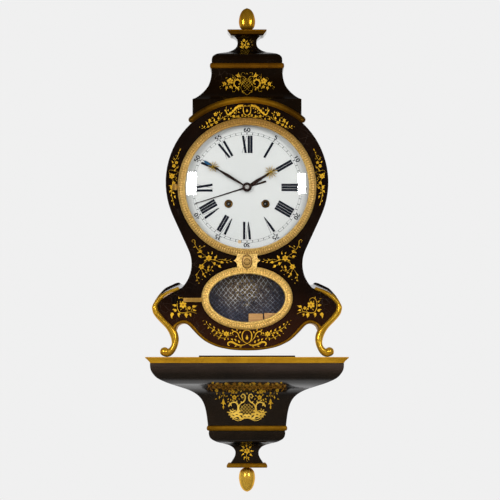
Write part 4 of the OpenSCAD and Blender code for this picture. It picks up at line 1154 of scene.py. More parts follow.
bz = Soup()
bz.skin(ring_sections(174 * 6, circle_at), closed=True)
ribs(bz, 174 * 6, True)
beads(bz, 174, circle_at, 7.6, 156.9, 1.9)
n_ov = int(round(OV_LEN * 1.09 / 4.73))
bo = Soup()
bo.skin(ring_sections(n_ov * 6, oval_at), closed=True)
ribs(bo, n_ov * 6, False)
beads(bo, n_ov, oval_at, 7.6, 156.9, 1.9)
bz.obj("bezel_round", [M["door_brass"], M["brass_deep"]], "front_door", "door_brass", 50, ["bezel_frame"])
bo.obj("bezel_oval", [M["door_brass"], M["brass_deep"]], "front_door", "door_brass", 50)

# the plate that links the two rings, with cusped sides
lk = Soup()
half = [(22.0, 207.0), (20.6, 203.2), (20.2, 199.8), (22.2, 196.0), (26.6, 192.6), (22.0, 189.6), (19.8, 185.6), (19.5, 176.0)]
outline = half + [(-x, z) for x, z in half[::-1]]
lk.plate(outline, 150.45, 157.3, 0.5)
lk.obj("bezel_link", [M["door_brass"]], "front_door", "door_brass", 35)

# strap, tongue and knuckles of the two hinges
hg = Soup()
hg.plate([(-126.4, 109.8), (-88.0, 109.8), (-88.0, 118.2), (-126.4, 118.2), (-127.2, 116.4), (-125.4, 114.0), (-127.2, 111.6)], 151.0, 154.0, 0.5)
hg.plate([(-143.0, 112.0), (-124.0, 112.0), (-124.0, 116.0), (-143.0, 116.0)], 151.6, 153.8, 0.3)
hg.plate([(-143.0, 337.2), (-136.0, 337.2), (-136.0, 342.8), (-143.0, 342.8)], 153.2, 156.0, 0.3)
for z in (340.0, 114.0):
    hg.lathe_z(-143.0, 154.6, [(1.46, z - 2.8), (2.9, z - 2.8), (3.2, z - 2.4), (3.2, z + 2.4), (2.9, z + 2.8), (1.46, z + 2.8)], 28)
for x in (-119.0, -96.0):
    hg.lathe_d(x, 114.0, [(0.01, 153.8), (1.9, 153.8), (1.9, 154.2), (1.5, 154.7), (0.8, 155.0), (0.01, 155.05)], 20)
hg.obj("door_hinge_parts", [M["hinge_two"]], "front_door", "door_brass", 35)

# ------------------------------------------------------------------ arch moulding
am = Soup()
ARCH = [(169.0, 150.1), (181.0, 150.1), (181.4, 151.0), (181.0, 152.6), (179.9, 154.4), (178.0, 156.2), (175.4, 157.0), (173.0, 156.5),
        (171.2, 155.2), (170.4, 153.8), (169.4, 153.0), (169.0, 151.8)]
secs = []
for i in range(121):
    a = math.radians(-39.4 + 78.8 * i / 120)
    secs.append([(r * math.sin(a), d, DIAL_Z + r * math.cos(a)) for r, d in ARCH])
am.skin(secs)
# the part over the edge of the case, down to the hood block's face
back = []
for i in range(121):
    a = math.radians(-39.4 + 78.8 * i / 120)
    sn, cs = math.sin(a), math.cos(a)
    # radius of the case's head along this line: its centre is 10 above the dial's
    k = 10.0 * cs + math.sqrt(163.0 ** 2 - (10.0 * sn) ** 2)
    lo = max(k + 0.05, 169.0)
    back.append([(lo * sn, 144.0, DIAL_Z + lo * cs), (181.0 * sn, 144.0, DIAL_Z + 181.0 * cs),
                 (181.0 * sn, 150.3, DIAL_Z + 181.0 * cs), (lo * sn, 150.3, DIAL_Z + lo * cs)])
am.skin(back)
# rounded ends
for sg in (-1, 1):
    ex, ez = sg * 175 * math.sin(math.radians(39.4)), DIAL_Z + 175 * math.cos(math.radians(39.4))
    am.lathe_d(ex, ez, [(0.01, 150.1), (6.0, 150.1), (6.3, 151.0), (5.9, 152.8), (4.8, 154.6), (2.8, 156.4), (0.9, 157.0), (0.01, 157.0)], 32)
am.obj("arch_moulding_turned", [M["gilt_arch"]], "clock_case", "gilt", 45, ["arch_moulding"])

# ------------------------------------------------------------------ feet
# Outer and inner edge of one foot from the shoulder down to the scroll, right side.
FOOT_OUT = [(137.5, 140.2), (141, 139.2), (146, 137.6), (154, 134.7), (163, 130.4), (170.5, 125.2), (177, 119.6), (182.6, 113.6),
            (187, 107.4), (189.6, 101.5), (190, 97), (188.6, 91), (185, 84), (179, 76.8), (172, 70), (165.6, 63.2), (161, 57),
            (157, 50.6), (154, 44), (151.8, 37.4), (150.6, 31), (150.9, 25.6), (152.8, 21), (156, 17.6), (159.5, 15.8),
            (162.5, 15.0), (165, 14.4), (167, 13.2), (168.5, 11.8)]
FOOT_IN = [(135, 135.2), (138, 133.6), (142, 131.8), (149, 128.6), (157, 124.2), (164, 119.6), (170, 115), (174.6, 110.4),
           (177.8, 106), (179.4, 102.6), (179.5, 99.6), (178.2, 94.4), (174.2, 88.2), (167.4, 79.6), (158.6, 70.4), (150.0, 62.6), (144.0, 57.4),
           (140.6, 52.0), (138.4, 46.5), (137, 40), (136.8, 33), (138, 26), (140.6, 18.6), (145, 10.2), (151, 3.6),
           (158, 0.4), (165.5, 1.1), (170.8, 5.2), (172.9, 11.0)]
REAR_OUT = [(132, 156.2), (138, 153.4), (144, 150.8), (152, 146.8), (160, 142.2), (168, 136.4), (175.4, 130.4), (182, 123.6),
            (187.6, 115.6), (191.4, 107.4), (193.2, 99.6), (192.3, 91.5), (189, 85), (183, 77.5), (176, 70), (169.2, 63.2), (164, 57),
            (160, 50.6), (157, 44), (154.8, 37.4), (153.4, 31), (153.6, 25.8), (155.6, 21.2), (159, 17.8), (162.5, 16),
            (165.5, 15.2), (168, 14.4), (170, 13.2), (171.5, 11.8)]
REAR_IN = [(127, 150), (132, 147.4), (137.6, 144), (145, 139.4), (152, 134.6), (159, 129.2), (165.4, 123.4), (171, 117.2),
           (176, 109.6), (179.2, 103.2), (179.8, 98.0), (178.4, 93.6), (175.2, 88.2), (168.4, 79.6), (161.5, 70.4), (154.5, 63.6), (148.6, 58.4),
           (144.2, 52.5), (141.6, 46.5), (140.2, 40), (140, 33), (141.2, 26), (143.8, 18.6), (148.2, 10.2), (154.2, 3.6),
           (161.2, 0.4), (168.7, 1.1), (174, 5.2), (176.1, 11.0)]
ROUND = [(0.0, 0.0), (0.035, 0.36), (0.13, 0.68), (0.29, 0.92), (0.48, 1.0), (0.66, 0.93), (0.80, 0.74), (0.92, 0.42), (1.0, 0.0)]


def foot(s, sg, out_, in_, d_rear, d_face, crown_max, ball):
    O, I = crom(out_, 4), crom(in_, 4)
    n = len(O)
    secs = []
    for i, (o, q) in enumerate(zip(O, I)):
        t = i / (n - 1)
        w = math.hypot(o[0] - q[0], o[1] - q[1])
        start = min(1.0, i / 5.0)
        crown = min(crown_max, w * 0.62) * (0.25 + 0.75 * start)
        slim = 4.0 * math.exp(-((t - 0.66) / 0.12) ** 2)
        face = d_face - (1.0 - start) * 0.2
        sec = [(sg * o[0], d_rear + slim, o[1])]
        for a, c in ROUND:
            sec.append((sg * (o[0] + (q[0] - o[0]) * a), face + crown * c, o[1] + (q[1] - o[1]) * a))
        sec.append((sg * q[0], d_rear + slim, q[1]))
        secs.append(sec)
    s.skin(secs)
    bx, bz_, br = ball
    hi = d_face + crown_max + 1.4
    s.lathe_d(sg * bx, bz_, [(0.01, d_rear + 0.6), (br * 0.55, d_rear + 1.0), (br * 0.85, d_rear + 2.4), (br, d_rear + 5.5), (br, hi - 8.6),
                             (br * 0.965, hi - 6.4), (br * 0.87, hi - 4.3), (br * 0.71, hi - 2.5), (br * 0.50, hi - 1.2), (br * 0.26, hi - 0.35),
                             (0.01, hi)], 40)


ff = Soup()
for sg in (-1, 1):
    foot(ff, sg, FOOT_OUT, FOOT_IN, 124.4, 150.3, 7.2, (164.9, 10.6, 8.9))
ff.obj("front_feet_cast", [M["gilt_bright"]], "clock_case", "gilt", 50, ["front_feet"])
rf = Soup()
for sg in (-1, 1):
    foot(rf, sg, REAR_OUT[6:], REAR_IN[6:], 6.2, 26.0, 5.6, (168.0, 10.6, 8.7))
rf.obj("rear_feet_cast", [M["gilt_bright"]], "clock_case", "gilt", 50, ["rear_feet"])

# The lacquered shoulder: from the front moulding it spreads a little to its edge at the back.
SH_OUT = [(112.0, 178.8), (114.5, 173.8), (117.8, 168.0), (122.7, 162.3), (134.0, 146.0), (138.0, 151.6), (144.8, 150.9), (152.3, 147.6), (160.3, 143.9),
          (168.2, 139.4), (177.8, 129.4), (183.2, 122.8)]
SH_FRONT = [(110.9, 178.4), (111.6, 173.3), (113.2, 166.7), (115.8, 159.5), (123.0, 147.0), (127.0, 142.6), (132.4, 138.2), (143.0, 136.6), (154.0, 133.0),
            (163.0, 128.8), (173.5, 120.8), (178.0, 116.0)]
SH_IN = [(106.0, 178.0), (106.0, 172.0), (108.0, 164.0), (111.0, 155.0), (116.0, 147.0), (122.0, 139.0), (131.0, 131.0), (141.0, 126.0), (151.0, 121.0),
         (160.0, 115.0), (169.0, 108.0), (172.0, 104.0)]
sh = Soup()
for sg in (-1, 1):
    secs = []
    SO, SF, SI = crom(SH_OUT[4:], 4), crom(SH_FRONT[4:], 4), crom(SH_IN[4:], 4)
    for i, (o_, f_, i_) in enumerate(zip(SO, SF, SI)):
        w = math.hypot(f_[0] - o_[0], f_[1] - o_[1])
        t = min(0.50, 3.5 / max(w, 0.5))
        r = (o_[0] + (f_[0] - o_[0]) * t, o_[1] + (f_[1] - o_[1]) * t)
        secs.append([(sg * o_[0], 7.0, o_[1]), (sg * o_[0], 23.4, o_[1]), (sg * (o_[0] * 0.7 + r[0] * 0.3), 24.2, o_[1] * 0.7 + r[1] * 0.3), (sg * r[0], 24.6, r[1]),
                     (sg * f_[0], 121.6, f_[1]), (sg * i_[0], 121.6, i_[1]), (sg * i_[0], 7.0, i_[1])])
    sh.skin(secs)
sh.obj("shoulder_slips", [M["lacquer"]], "clock_case", "lacquer", 30)
# painted highlight: a pale strip along the inner edge of the left moulding
wr = Soup()
O_, I_ = crom(FOOT_OUT, 4), crom(FOOT_IN, 4)
secs = []
pick = [i for i in range(len(I_)) if 147.0 < I_[i][0] < 167.5 and I_[i][1] > 110]
for n_, i in enumerate(pick):
    e = 0.25 + 0.75 * math.sin(math.pi * (n_ + 0.5) / len(pick)) ** 0.5
    q, o2 = I_[i], O_[i]

    def on(a, d):
        return (-(q[0] + (o2[0] - q[0]) * a), d, q[1] + (o2[1] - q[1]) * a)
    secs.append([on(-0.02, 150.2), on(-0.02, 150.9), on(0.05 * e, 152.6), on(0.13 * e, 154.4), on(0.20 * e, 154.9), on(0.21 * e, 150.2)])
wr.skin(secs)
wr.obj("painted_highlight_edge", [M["ground"]], "clock_case", "gilt", 50)

# ------------------------------------------------------------------ apron moulding
AP_UP = [(150, 58), (147.6, 62), (143.8, 66), (138, 70), (131, 72.8), (125.6, 73.4), (119, 72), (111, 66.5), (101.6, 56), (88, 41.5), (74, 31.5),
         (53, 23), (27, 18.3), (0, 17)]
AP_LOW = [(145.2, 51), (143.2, 55), (140.2, 61.6), (136.4, 65.2), (131, 67.4), (126, 67.6), (119.4, 65), (112.6, 59), (104, 49.5), (92, 38), (80, 29.5),
          (58, 20), (28, 14.4), (0, 13.2)]
ap = Soup()
up, low = crom(AP_UP, 4), crom(AP_LOW, 4)
up = [(-x, z) for x, z in up] + [(x, z) for x, z in up[-2::-1]]
low = [(-x, z) for x, z in low] + [(x, z) for x, z in low[-2::-1]]
secs = []
for (ax, az), (bx, bz_) in zip(up, low):
    def at(t, d):
        return (ax + (bx - ax) * t, d, az + (bz_ - az) * t)
    secs.append([at(-0.05, 6.2), at(-0.05, 150.2), at(0.02, 151.4), at(0.22, 152.2), at(0.5, 152.4), at(0.78, 151.9), at(0.95, 150.4), at(1.0, 148.6), at(1.0, 7.4), at(0.8, 6.2)])
ap.skin(secs)
ap.obj("apron_moulding_run", [M["gilt"]], "clock_case", "gilt", 45, ["apron_moulding"])

# ------------------------------------------------------------------ net behind the window
ns = Soup()
ns.mat = 0
FX, FZ0, FZ1 = 80.0, 66.5, 171.0
for x0, x1, z0, z1 in ((-88, 88, 61, FZ0), (-88, 88, FZ1, 178), (-88, -FX, FZ0, FZ1), (FX, 88, FZ0, FZ1)):
    ns.plate([(x0, z0), (x1, z0), (x1, z1), (x0, z1)], 118.5, 121.4, 0.25)
ns.obj("net_frame", [M["case_wood"]], "clock_case", "case_wood", 35, ["net_screen"])

nw = Soup()
CELL = 9.4


def net_z(v):
    """Height over the lower rail for a row number: the net is slack and its cells close up below."""
    return FZ0 + 5.6 * v + 0.37 * v * v


def jit(a, b):
    """Every crossing sits a little off its place."""
    h = math.sin(a * 12.9898 + b * 78.233) * 43758.5453
    g = math.sin(a * 39.346 + b * 11.135) * 24634.6345
    return (2 * (h - math.floor(h)) - 1, 2 * (g - math.floor(g)) - 1)


def jit_at(x, v):
    b0, b1 = math.floor(v * 2 + 1e-6), math.ceil(v * 2 - 1e-6)
    a = x / CELL * 2
    if b0 == b1:
        j = jit(round(a), b0)
        return (1.05 * j[0], 0.85 * j[1])
    p, q = jit(math.floor(a + 1e-6), b0), jit(math.ceil(a - 1e-6), b1)
    return (0.5 * (p[0] + q[0]), 0.4 * (p[1] + q[1]))


v_top = 0.0
while net_z(v_top) < FZ1:
    v_top += 0.05
rows_v = int(v_top * 2) + 1
knots = []
for sg in (-1, 1):
    k = -40
    while k < 40:
        pts = []
        v = 0.0
        while v <= v_top + 0.01:
            x = k * CELL + sg * v * CELL / 2 * 2
            z = net_z(v)
            if -FX - 0.5 <= x <= FX + 0.5:
                sway = 0.7 * math.sin(x * 0.11 + z * 0.07) + 0.4 * math.sin(x * 0.05 - z * 0.19)
                lay = 0.32 * sg * math.cos(math.pi * v * 2)
                jx, jz = jit_at(x, v)
                pts.append((x + sway * 0.6 + jx, 120.0 + lay + 0.5 * math.sin(x * 0.04), min(max(z + sway * 0.5 + jz, FZ0 - 0.4), FZ1 + 0.4)))
            v += 0.25
        if len(pts) > 2:
            nw.tube(pts, 0.46, 6)
        k += 1
v = 0.0
while v < v_top:
    for k in range(-40, 41):
        for off in (0.0,):
            # strands of the two directions meet where their columns agree
            x = (k + (0.5 if int(round(v * 2)) % 2 else 0.0)) * CELL
            if abs(x) < FX - 1:
                z = net_z(v)
                sway = 0.7 * math.sin(x * 0.11 + z * 0.07) + 0.4 * math.sin(x * 0.05 - z * 0.19)
                jx, jz = jit_at(x, v)
                knots.append((x + sway * 0.6 + jx, 120.2 + 0.5 * math.sin(x * 0.04), z + sway * 0.5 + jz))
    v += 0.5
for x, d, z in knots:
    ring = []
    for a, rr, dd in ((0, 0.95, -0.35), (0, 1.05, 0.30), (0, 0.6, 0.85)):
        ring.append(nw.add([(x + rr * 1.25 * math.cos(2 * math.pi * j / 6), d + dd, z + rr * 0.85 * math.sin(2 * math.pi * j / 6)) for j in range(6)]))
    top = nw.add([(x, d + 1.05, z)])
    for j in range(6):
        j2 = (j + 1) % 6
        nw.face(ring[0] + j, ring[0] + j2, ring[1] + j2, ring[1] + j)
        nw.face(ring[1] + j, ring[1] + j2, ring[2] + j2, ring[2] + j)
        nw.face(ring[2] + j, ring[2] + j2, top)
    nw.face(*[ring[0] + j for j in range(6)][::-1])
nw.obj("net_wires", [M["wire"]], "clock_case", "net_wire", 60)

# fine gauze behind the wires
gz = Soup()
GP = 1.55
n_g = int((2 * FX + (FZ1 - FZ0)) / GP) + 2
for sg in (-1, 1):
    for i in range(n_g):
        c = -FX - (FZ1 - FZ0) + i * GP * 1.0 if sg > 0 else -FX + i * GP * 1.0
        # the line x = c + sg * (z - FZ0)
        pts = []
        for z in (FZ0, FZ1):
            pts.append((c + sg * (z - FZ0), z))
        (xa, za), (xb, zb) = pts
        lo, hi = 0.0, 1.0
        dx = xb - xa
        for lim, sgn in ((-FX, -1), (FX, 1)):
            ta = (lim - xa) / dx
            if (dx > 0) == (sgn > 0):
                hi = min(hi, ta)
            else:
                lo = max(lo, ta)
        if hi - lo > 0.02:
            A = (xa + dx * lo, 118.9 + 0.12 * sg, za + (zb - za) * lo)
            B = (xa + dx * hi, 118.9 + 0.12 * sg, za + (zb - za) * hi)
            gz.tube([A, B], 0.21, 4)
gz.obj("net_gauze", [M["gauze"]], "clock_case", "net_wire", 30)

# ------------------------------------------------------------------ keyhole rosette on the link plate
rs = Soup()
rs.mat = 0
right = [(0, 18.2), (1.6, 15.2), (3.6, 12.9), (6.4, 11.6), (8.3, 9.0), (9.6, 4.6), (10.0, 0), (9.6, -4.4), (8.3, -8.6), (6.4, -11.2), (3.6, -12.6),
         (1.6, -15.0), (0, -18.0)]
outline = right + [(-x, z) for x, z in right[-2:0:-1]]
rs.plate([(x * 0.82, z * 0.88 + 190.4) for x, z in outline], 157.2, 160.5, 0.5)
# the second material paints dark shadow lines: a rim under the outline and a ring round the boss
rs.mat = 1
rs.plate([(x * 1.06, z * 1.02 + 190.4) for x, z in outline], 157.0, 158.0, 0.2)
rs.lathe_d(0, 190.0, [(0.01, 160.0), (6.9, 160.0), (6.9, 160.7), (0.01, 160.7)], 48)
for sg in (-1, 1):
    rs.plate([(-3.4, 190.4 + sg * 11.2 - 0.8), (3.4, 190.4 + sg * 11.2 - 0.8), (3.4, 190.4 + sg * 11.2 + 0.8), (-3.4, 190.4 + sg * 11.2 + 0.8)], 160.3, 160.75, 0.1)
rs.mat = 0
hexa = [(5.5 * math.sin(math.radians(30 + 60 * i)), 190.0 + 5.5 * math.cos(math.radians(30 + 60 * i))) for i in range(6)]
rs.plate(hexa, 160.5, 161.5, 0.3)
# painted shade: a dark ring in the groove round the dome
rs.mat = 1
rs.lathe_d(0, 190.0, [(0.01, 161.3), (3.1, 161.3), (3.1, 161.62), (0.01, 161.62)], 24)
rs.mat = 0
rs.lathe_d(0, 190.0, [(0.01, 161.4), (2.4, 161.4), (2.3, 161.9), (1.6, 162.3), (0.01, 162.5)], 24)
for i in range(22):
    a = 2 * math.pi * i / 22
    x, z = 7.3 * math.sin(a), 190.2 + 8.3 * math.cos(a)
    rs.lathe_d(x, z, [(0.01, 160.3), (0.55, 160.4), (0.45, 160.9), (0.01, 161.1)], 6)
for sg, t in ((1, 15.0), (-1, 14.8)):
    rs.lathe_d(0, 190.4 + sg * t, [(0.01, 160.2), (1.15, 160.4), (1.0, 161.0), (0.01, 161.3)], 12)
rs.obj("rosette_chased", [M["boss_brass"], M["collet_brass"]], "front_door", "door_brass", 40, ["rosette"])

# ------------------------------------------------------------------ alarm hand
al = Soup()
al.lathe_d(0, DIAL_Z, [(3.68, 130.0), (5.6, 130.0), (5.6, 143.6), (6.4, 143.6), (6.4, 144.2), (6.2, 144.4), (3.68, 144.4)], 48)
blade(al, HA, 143.6, [(5.9, 1.7), (16, 1.5), (40, 1.25), (70, 1.0), (96, 0.75), (101, 0.62), (103.2, 0.95), (105.5, 1.1), (107.6, 0.8), (109.5, 0.12)], 0.8)
blade(al, HA + 180, 143.6, [(5.9, 1.4), (16, 1.4), (28, 1.7), (35, 1.95), (39.4, 1.8), (40.2, 1.2)], 0.8)
al.obj("alarm_hand_cut", [hand_dark], "alarm_pipe", "blued_steel", 40, ["alarm_hand"])

# ------------------------------------------------------------------ gilt ornament
# Low gilt relief: stems, leaves, flowers and scrolls laid on the lacquer.


def flat_front(x, z, h):
    return (x, 150.0 + h, z)


def curved_front(points, k, b):
    L = crom(points, 3)

    def width(z):
        for p, q in zip(L, L[1:]):
            if (p[1] - z) * (q[1] - z) <= 0 and abs(p[1] - q[1]) > 1e-6:
                return p[0] + (q[0] - p[0]) * (z - p[1]) / (q[1] - p[1])
        return L[0][0] if abs(z - L[0][1]) < abs(z - L[-1][1]) else L[-1][0]

    def put(x, z, h):
        s = (width(z + 1.2) - width(z - 1.2)) * k / 2.4
        n = 1.0 / math.sqrt(1.0 + s * s)
        return (x, b + k * width(z) + h * n, z - h * s * n)

    return put


class Ornament:
    """Draws in picture units (two millimetres each, axis at 247, shelf at 357) and sets on a surface."""

    def __init__(self, put, depth, mirror=True, lift=1.0, size=1.55):
        self.s = Soup()
        self.size = size
        self.surf = put
        self.k = (6150.0 - depth) / 6000.0
        self.sides = (1, -1) if mirror else (1,)
        self.lift = lift

    def mm(self, x, y):
        return ((x - 247.0) * 2.0 * self.k, ((357.0 - y) * 2.0 - 1.0) * self.k + 1.0)

    def band(self, P, widths, h, vein=False):
        """P in mm, widths half widths in mm."""
        for sg in self.sides:
            secs = []
            n = len(P)
            for i in range(n):
                a, b = P[max(i - 1, 0)], P[min(i + 1, n - 1)]
                t = Vector((b[0] - a[0], b[1] - a[1]))
                if t.length < 1e-6:
                    t = Vector((1, 0))
                t.normalize()
                nx, nz = -t.y, t.x
                w = max(widths[i], 0.06)
                hh = h * self.lift * min(1.0, 0.35 + w / 0.9)
                sec = []
                for u, e in ((-1.0, -0.35), (-0.62, hh), (0.0, hh * (0.45 if vein else 1.25)), (0.62, hh), (1.0, -0.35)):
                    sec.append(self.surf(sg * (P[i][0] + nx * w * u), P[i][1] + nz * w * u, e))
                secs.append(sec)
            self.s.skin(secs)

    def S(self, pts, w=0.45, w1=None, h=0.35, k=4):
        """A stem or scroll: w at the middle, thin at both ends unless w1 is given for the end."""
        w *= 1.4
        P = [self.mm(*p) for p in crom(pts, k)]
        n = len(P)
        W = []
        for i in range(n):
            t = i / (n - 1)
            if w1 is None:
                W.append(w * (0.35 + 0.65 * math.sin(math.pi * t)))
            else:
                W.append(w + (w1 - w) * t)
        self.band(P, W, h)

    def V(self, pts, h=0.5, k=5):
        """A filled leafy shape: points with their half heights, in picture units."""
        P = [self.mm(*p) for p in crom([(a, b) for a, b, c in pts], k)]
        W = [2.0 * max(c[0], 0.02) for c in crom([(c, 0.0) for a, b, c in pts], k)]
        self.band(P, W, h)

    def L(self, x, y, ang, length=5.0, wide=1.3, bend=0.15, h=0.5, shape=0):
        """A leaf with its middle at x, y. The angle is from upright, clockwise."""
        cx, cz = self.mm(x, y)
        length *= self.size
        wide *= self.size
        a = math.radians(ang)
        ux, uz = math.sin(a), math.cos(a)
        P, W = [], []
        prof = [(0.0, 0.12), (0.14, 0.62), (0.32, 1.0), (0.52, 0.92), (0.74, 0.55), (0.90, 0.22), (1.0, 0.03)]
        if shape == 1:
            prof = [(0.0, 0.45), (0.10, 0.92), (0.28, 1.0), (0.48, 0.80), (0.70, 0.46), (0.88, 0.18), (1.0, 0.03)]
        for t, w in prof:
            s = (t - 0.5) * length
            c = bend * length * (1 - (2 * t - 1) ** 2)
            P.append((cx + ux * s + uz * c, cz + uz * s - ux * c))
            W.append(wide * w)
        self.band(P, W, h, vein=True)

    def dome(self, cx, cz, ra, rb, ang, h, n=8):
        a = math.radians(ang)
        for sg in self.sides:
            rings = []
            for f, e in ((1.0, -0.35), (0.92, h * 0.55), (0.62, h)):
                pts = []
                for j in range(n):
                    b = 2 * math.pi * j / n
                    u, v = ra * f * math.cos(b), rb * f * math.sin(b)
                    pts.append(self.surf(sg * (cx + u * math.sin(a) + v * math.cos(a)), cz + u * math.cos(a) - v * math.sin(a), e))
                rings.append(self.s.add(pts))
            top = self.s.add([self.surf(sg * cx, cz, h * 1.15)])
            for q in range(2):
                for j in range(n):
                    j2 = (j + 1) % n
                    self.s.face(rings[q] + j, rings[q] + j2, rings[q + 1] + j2, rings[q + 1] + j)
            for j in range(n):
                self.s.face(rings[2] + j, rings[2] + (j + 1) % n, top)
            self.s.face(*[rings[0] + j for j in range(n)][::-1])

    def B(self, x, y, r=0.9, h=0.7):
        cx, cz = self.mm(x, y)
        r *= 1.4
        self.dome(cx, cz, r, r, 0, h * self.lift)

    def F(self, x, y, r=3.0, n=5, turn=0.0, heart=True):
        cx, cz = self.mm(x, y)
        r *= 0.93 * self.size
        for i in range(n):
            a = turn + 360.0 * i / n
            self.dome(cx + 0.60 * r * math.sin(math.radians(a)), cz + 0.60 * r * math.cos(math.radians(a)), r * 0.43, r * 0.40 * 5.0 / n, a,
                      0.5 * self.lift, 7)
        m = self.s.mat
        if heart:
            self.s.mat = 1
        self.dome(cx, cz, r * 0.27, r * 0.27, 0, 0.8 * self.lift)
        self.s.mat = m

    def C(self, x, y, r, a0, a1, w=0.8, eye=True, h=0.5, r_end=0.45):
        """A C-scroll: part of a circle whose ends curl in to an eye."""
        P = []
        n = 22
        for i in range(n + 1):
            t = i / n
            a = math.radians(a0 + (a1 - a0) * t)
            e = abs(2 * t - 1) ** 3
            rr = r * (1 - (1 - r_end) * e)
            cx, cz = self.mm(x, y)
            P.append((cx + rr * math.sin(a), cz + rr * math.cos(a)))
        self.band(P, [w * (0.55 + 0.45 * math.sin(math.pi * i / n)) for i in range(n + 1)], h)
        if eye:
            for p in (P[0], P[-1]):
                self.dome(p[0], p[1], w * 1.05, w * 1.05, 0, h * 1.3)

    def sprig(self, pts, n=7, length=4.4, wide=1.15, w=0.38, t0=0.12, t1=1.0, spread=48, tip=True, shape=0):
        """A stem with leaves on alternate sides."""
        self.S(pts, w, h=0.32)
        D = crom(pts, 6)
        for i in range(n):
            t = t0 + (t1 - t0) * i / max(n - 1, 1)
            j = min(len(D) - 2, int(t * (len(D) - 1)))
            a, b = D[j], D[j + 1]
            ang = math.degrees(math.atan2(b[0] - a[0], -(b[1] - a[1])))
            sd = 1 if i % 2 else -1
            last = tip and i == n - 1
            g = 0.0 if last else sd * spread
            q = math.radians(ang + g)
            L = length * (1.0 - 0.25 * t)
            off = L * self.size * 0.25 + 0.25
            self.L(a[0] + math.sin(q) * off, a[1] - math.cos(q) * off, ang + g, L, wide * (1.0 - 0.2 * t), 0.1 * -sd, shape=shape)

    def done(self, name, body, mats=("gilt_ornament", "gilt_faded")):
        return self.s.obj(name, [M[m] for m in mats], body, "gilt", 55)


# over the dial
o = Ornament(flat_front, 150.0, size=1.4)
o.L(247, 109.9, 0, 4.6, 1.9, 0.0, shape=1)
o.L(247, 105.7, 0, 2.4, 0.6, 0.0)
o.S([(246.6, 115.0), (244.4, 113.6), (243.3, 110.6), (243.3, 107.6), (244.3, 105.4), (245.6, 105.0)], 0.85, 0.6)
o.B(245.4, 105.6, 0.8)
o.S([(243.2, 105.2), (240.4, 105.4), (237.6, 106.4), (235.0, 108.8), (232.4, 111.6), (229.8, 113.8)], 2.1, 1.7, h=0.5)
o.S([(230.4, 113.4), (228.2, 114.4), (226.8, 113.0), (226.0, 110.4), (226.4, 106.2)], 1.6, 0.25, h=0.5)
for x, y, a, L, w in ((238.4, 104.8, 60, 3.6, 1.1), (240.6, 107.6, 120, 3.2, 1.0), (238.6, 108.6, 150, 3.2, 1.0), (235.0, 107.0, 30, 3.4, 1.0), (236.6, 110.6, 170, 3.2, 0.9),
                      (232.4, 109.8, 20, 3.4, 1.0), (234.6, 112.6, 160, 3.2, 0.9), (229.8, 112.2, 10, 3.4, 1.0), (224.8, 110.2, -30, 3.2, 0.9), (227.8, 109.6, 20, 3.0, 0.8),
                      (231.0, 115.6, 120, 2.8, 0.8)):
    o.L(x, y, a, L, w)
o.L(239.2, 111.6, 115, 3.6, 1.0, shape=1)
o.L(236.2, 112.8, 150, 2.6, 0.7, shape=1)
o.L(230.6, 107.8, 10, 2.8, 0.8, shape=1)
o.S([(247.0, 116.6), (243.0, 116.4), (239.0, 117.2), (235.0, 117.0), (231.6, 118.6)], 0.28)
for x, y, r, n in ((242.3, 114.9, 1.9, 5), (238.3, 115.9, 2.0, 5), (233.6, 115.8, 2.3, 5), (228.8, 118.6, 1.5, 5), (224.4, 118.8, 1.6, 5), (245.2, 116.2, 1.2, 5)):
    o.F(x, y, r, n)
o.L(240.2, 116.9, 110, 2.4, 0.7, shape=1)
o.L(236.2, 116.2, 250, 2.4, 0.7, shape=1)
o.S([(228.6, 116.6), (226.4, 115.6), (224.6, 116.6), (225.2, 118.6), (227.2, 118.4)], 0.3)
o.S([(227.4, 115.4), (223.6, 116.8), (220.4, 119.2), (216.6, 121.0), (212.4, 123.6), (208.4, 126.4), (204.6, 128.4)], 0.26)
o.S([(220.6, 118.8), (220.4, 116.0), (219.4, 113.4)], 0.24)
o.S([(214.6, 121.8), (214.4, 119.4), (213.4, 116.8)], 0.24)
o.S([(210.4, 124.8), (209.8, 122.2), (209.2, 119.6)], 0.24)
for x, y, a, L, w in ((219.1, 111.4, 5, 3.6, 0.9), (221.6, 112.6, 55, 3.0, 0.9), (220.6, 114.6, 130, 2.6, 0.7), (217.0, 112.0, -40, 2.6, 0.8), (213.6, 119.2, -10, 5.4, 1.1),
                      (211.8, 117.4, -35, 2.4, 0.7), (206.2, 122.6, -28, 5.2, 1.2), (204.0, 126.2, 20, 3.6, 0.9), (201.8, 125.4, -30, 2.8, 0.8), (202.2, 128.2, 240, 2.4, 0.7),
                      (211.4, 120.8, 70, 2.6, 0.8), (208.6, 121.8, -60, 2.6, 0.8), (222.6, 117.0, -20, 2.4, 0.7)):
    o.L(x, y, a, L, w, shape=1)
o.L(218.2, 117.4, 5, 4.4, 1.9, shape=1)
o.F(215.5, 113.9, 3.1, 5)
o.F(216.3, 122.2, 2.5, 5, 15)
o.F(209.6, 119.8, 2.4, 5)
o.F(211.5, 124.6, 2.2, 5, 20)
o.F(208.2, 126.2, 2.0, 5)
o.B(218.2, 120.0, 0.6)
o.B(199.6, 126.6, 0.45)
o.done("gilt_over_dial", "clock_case")

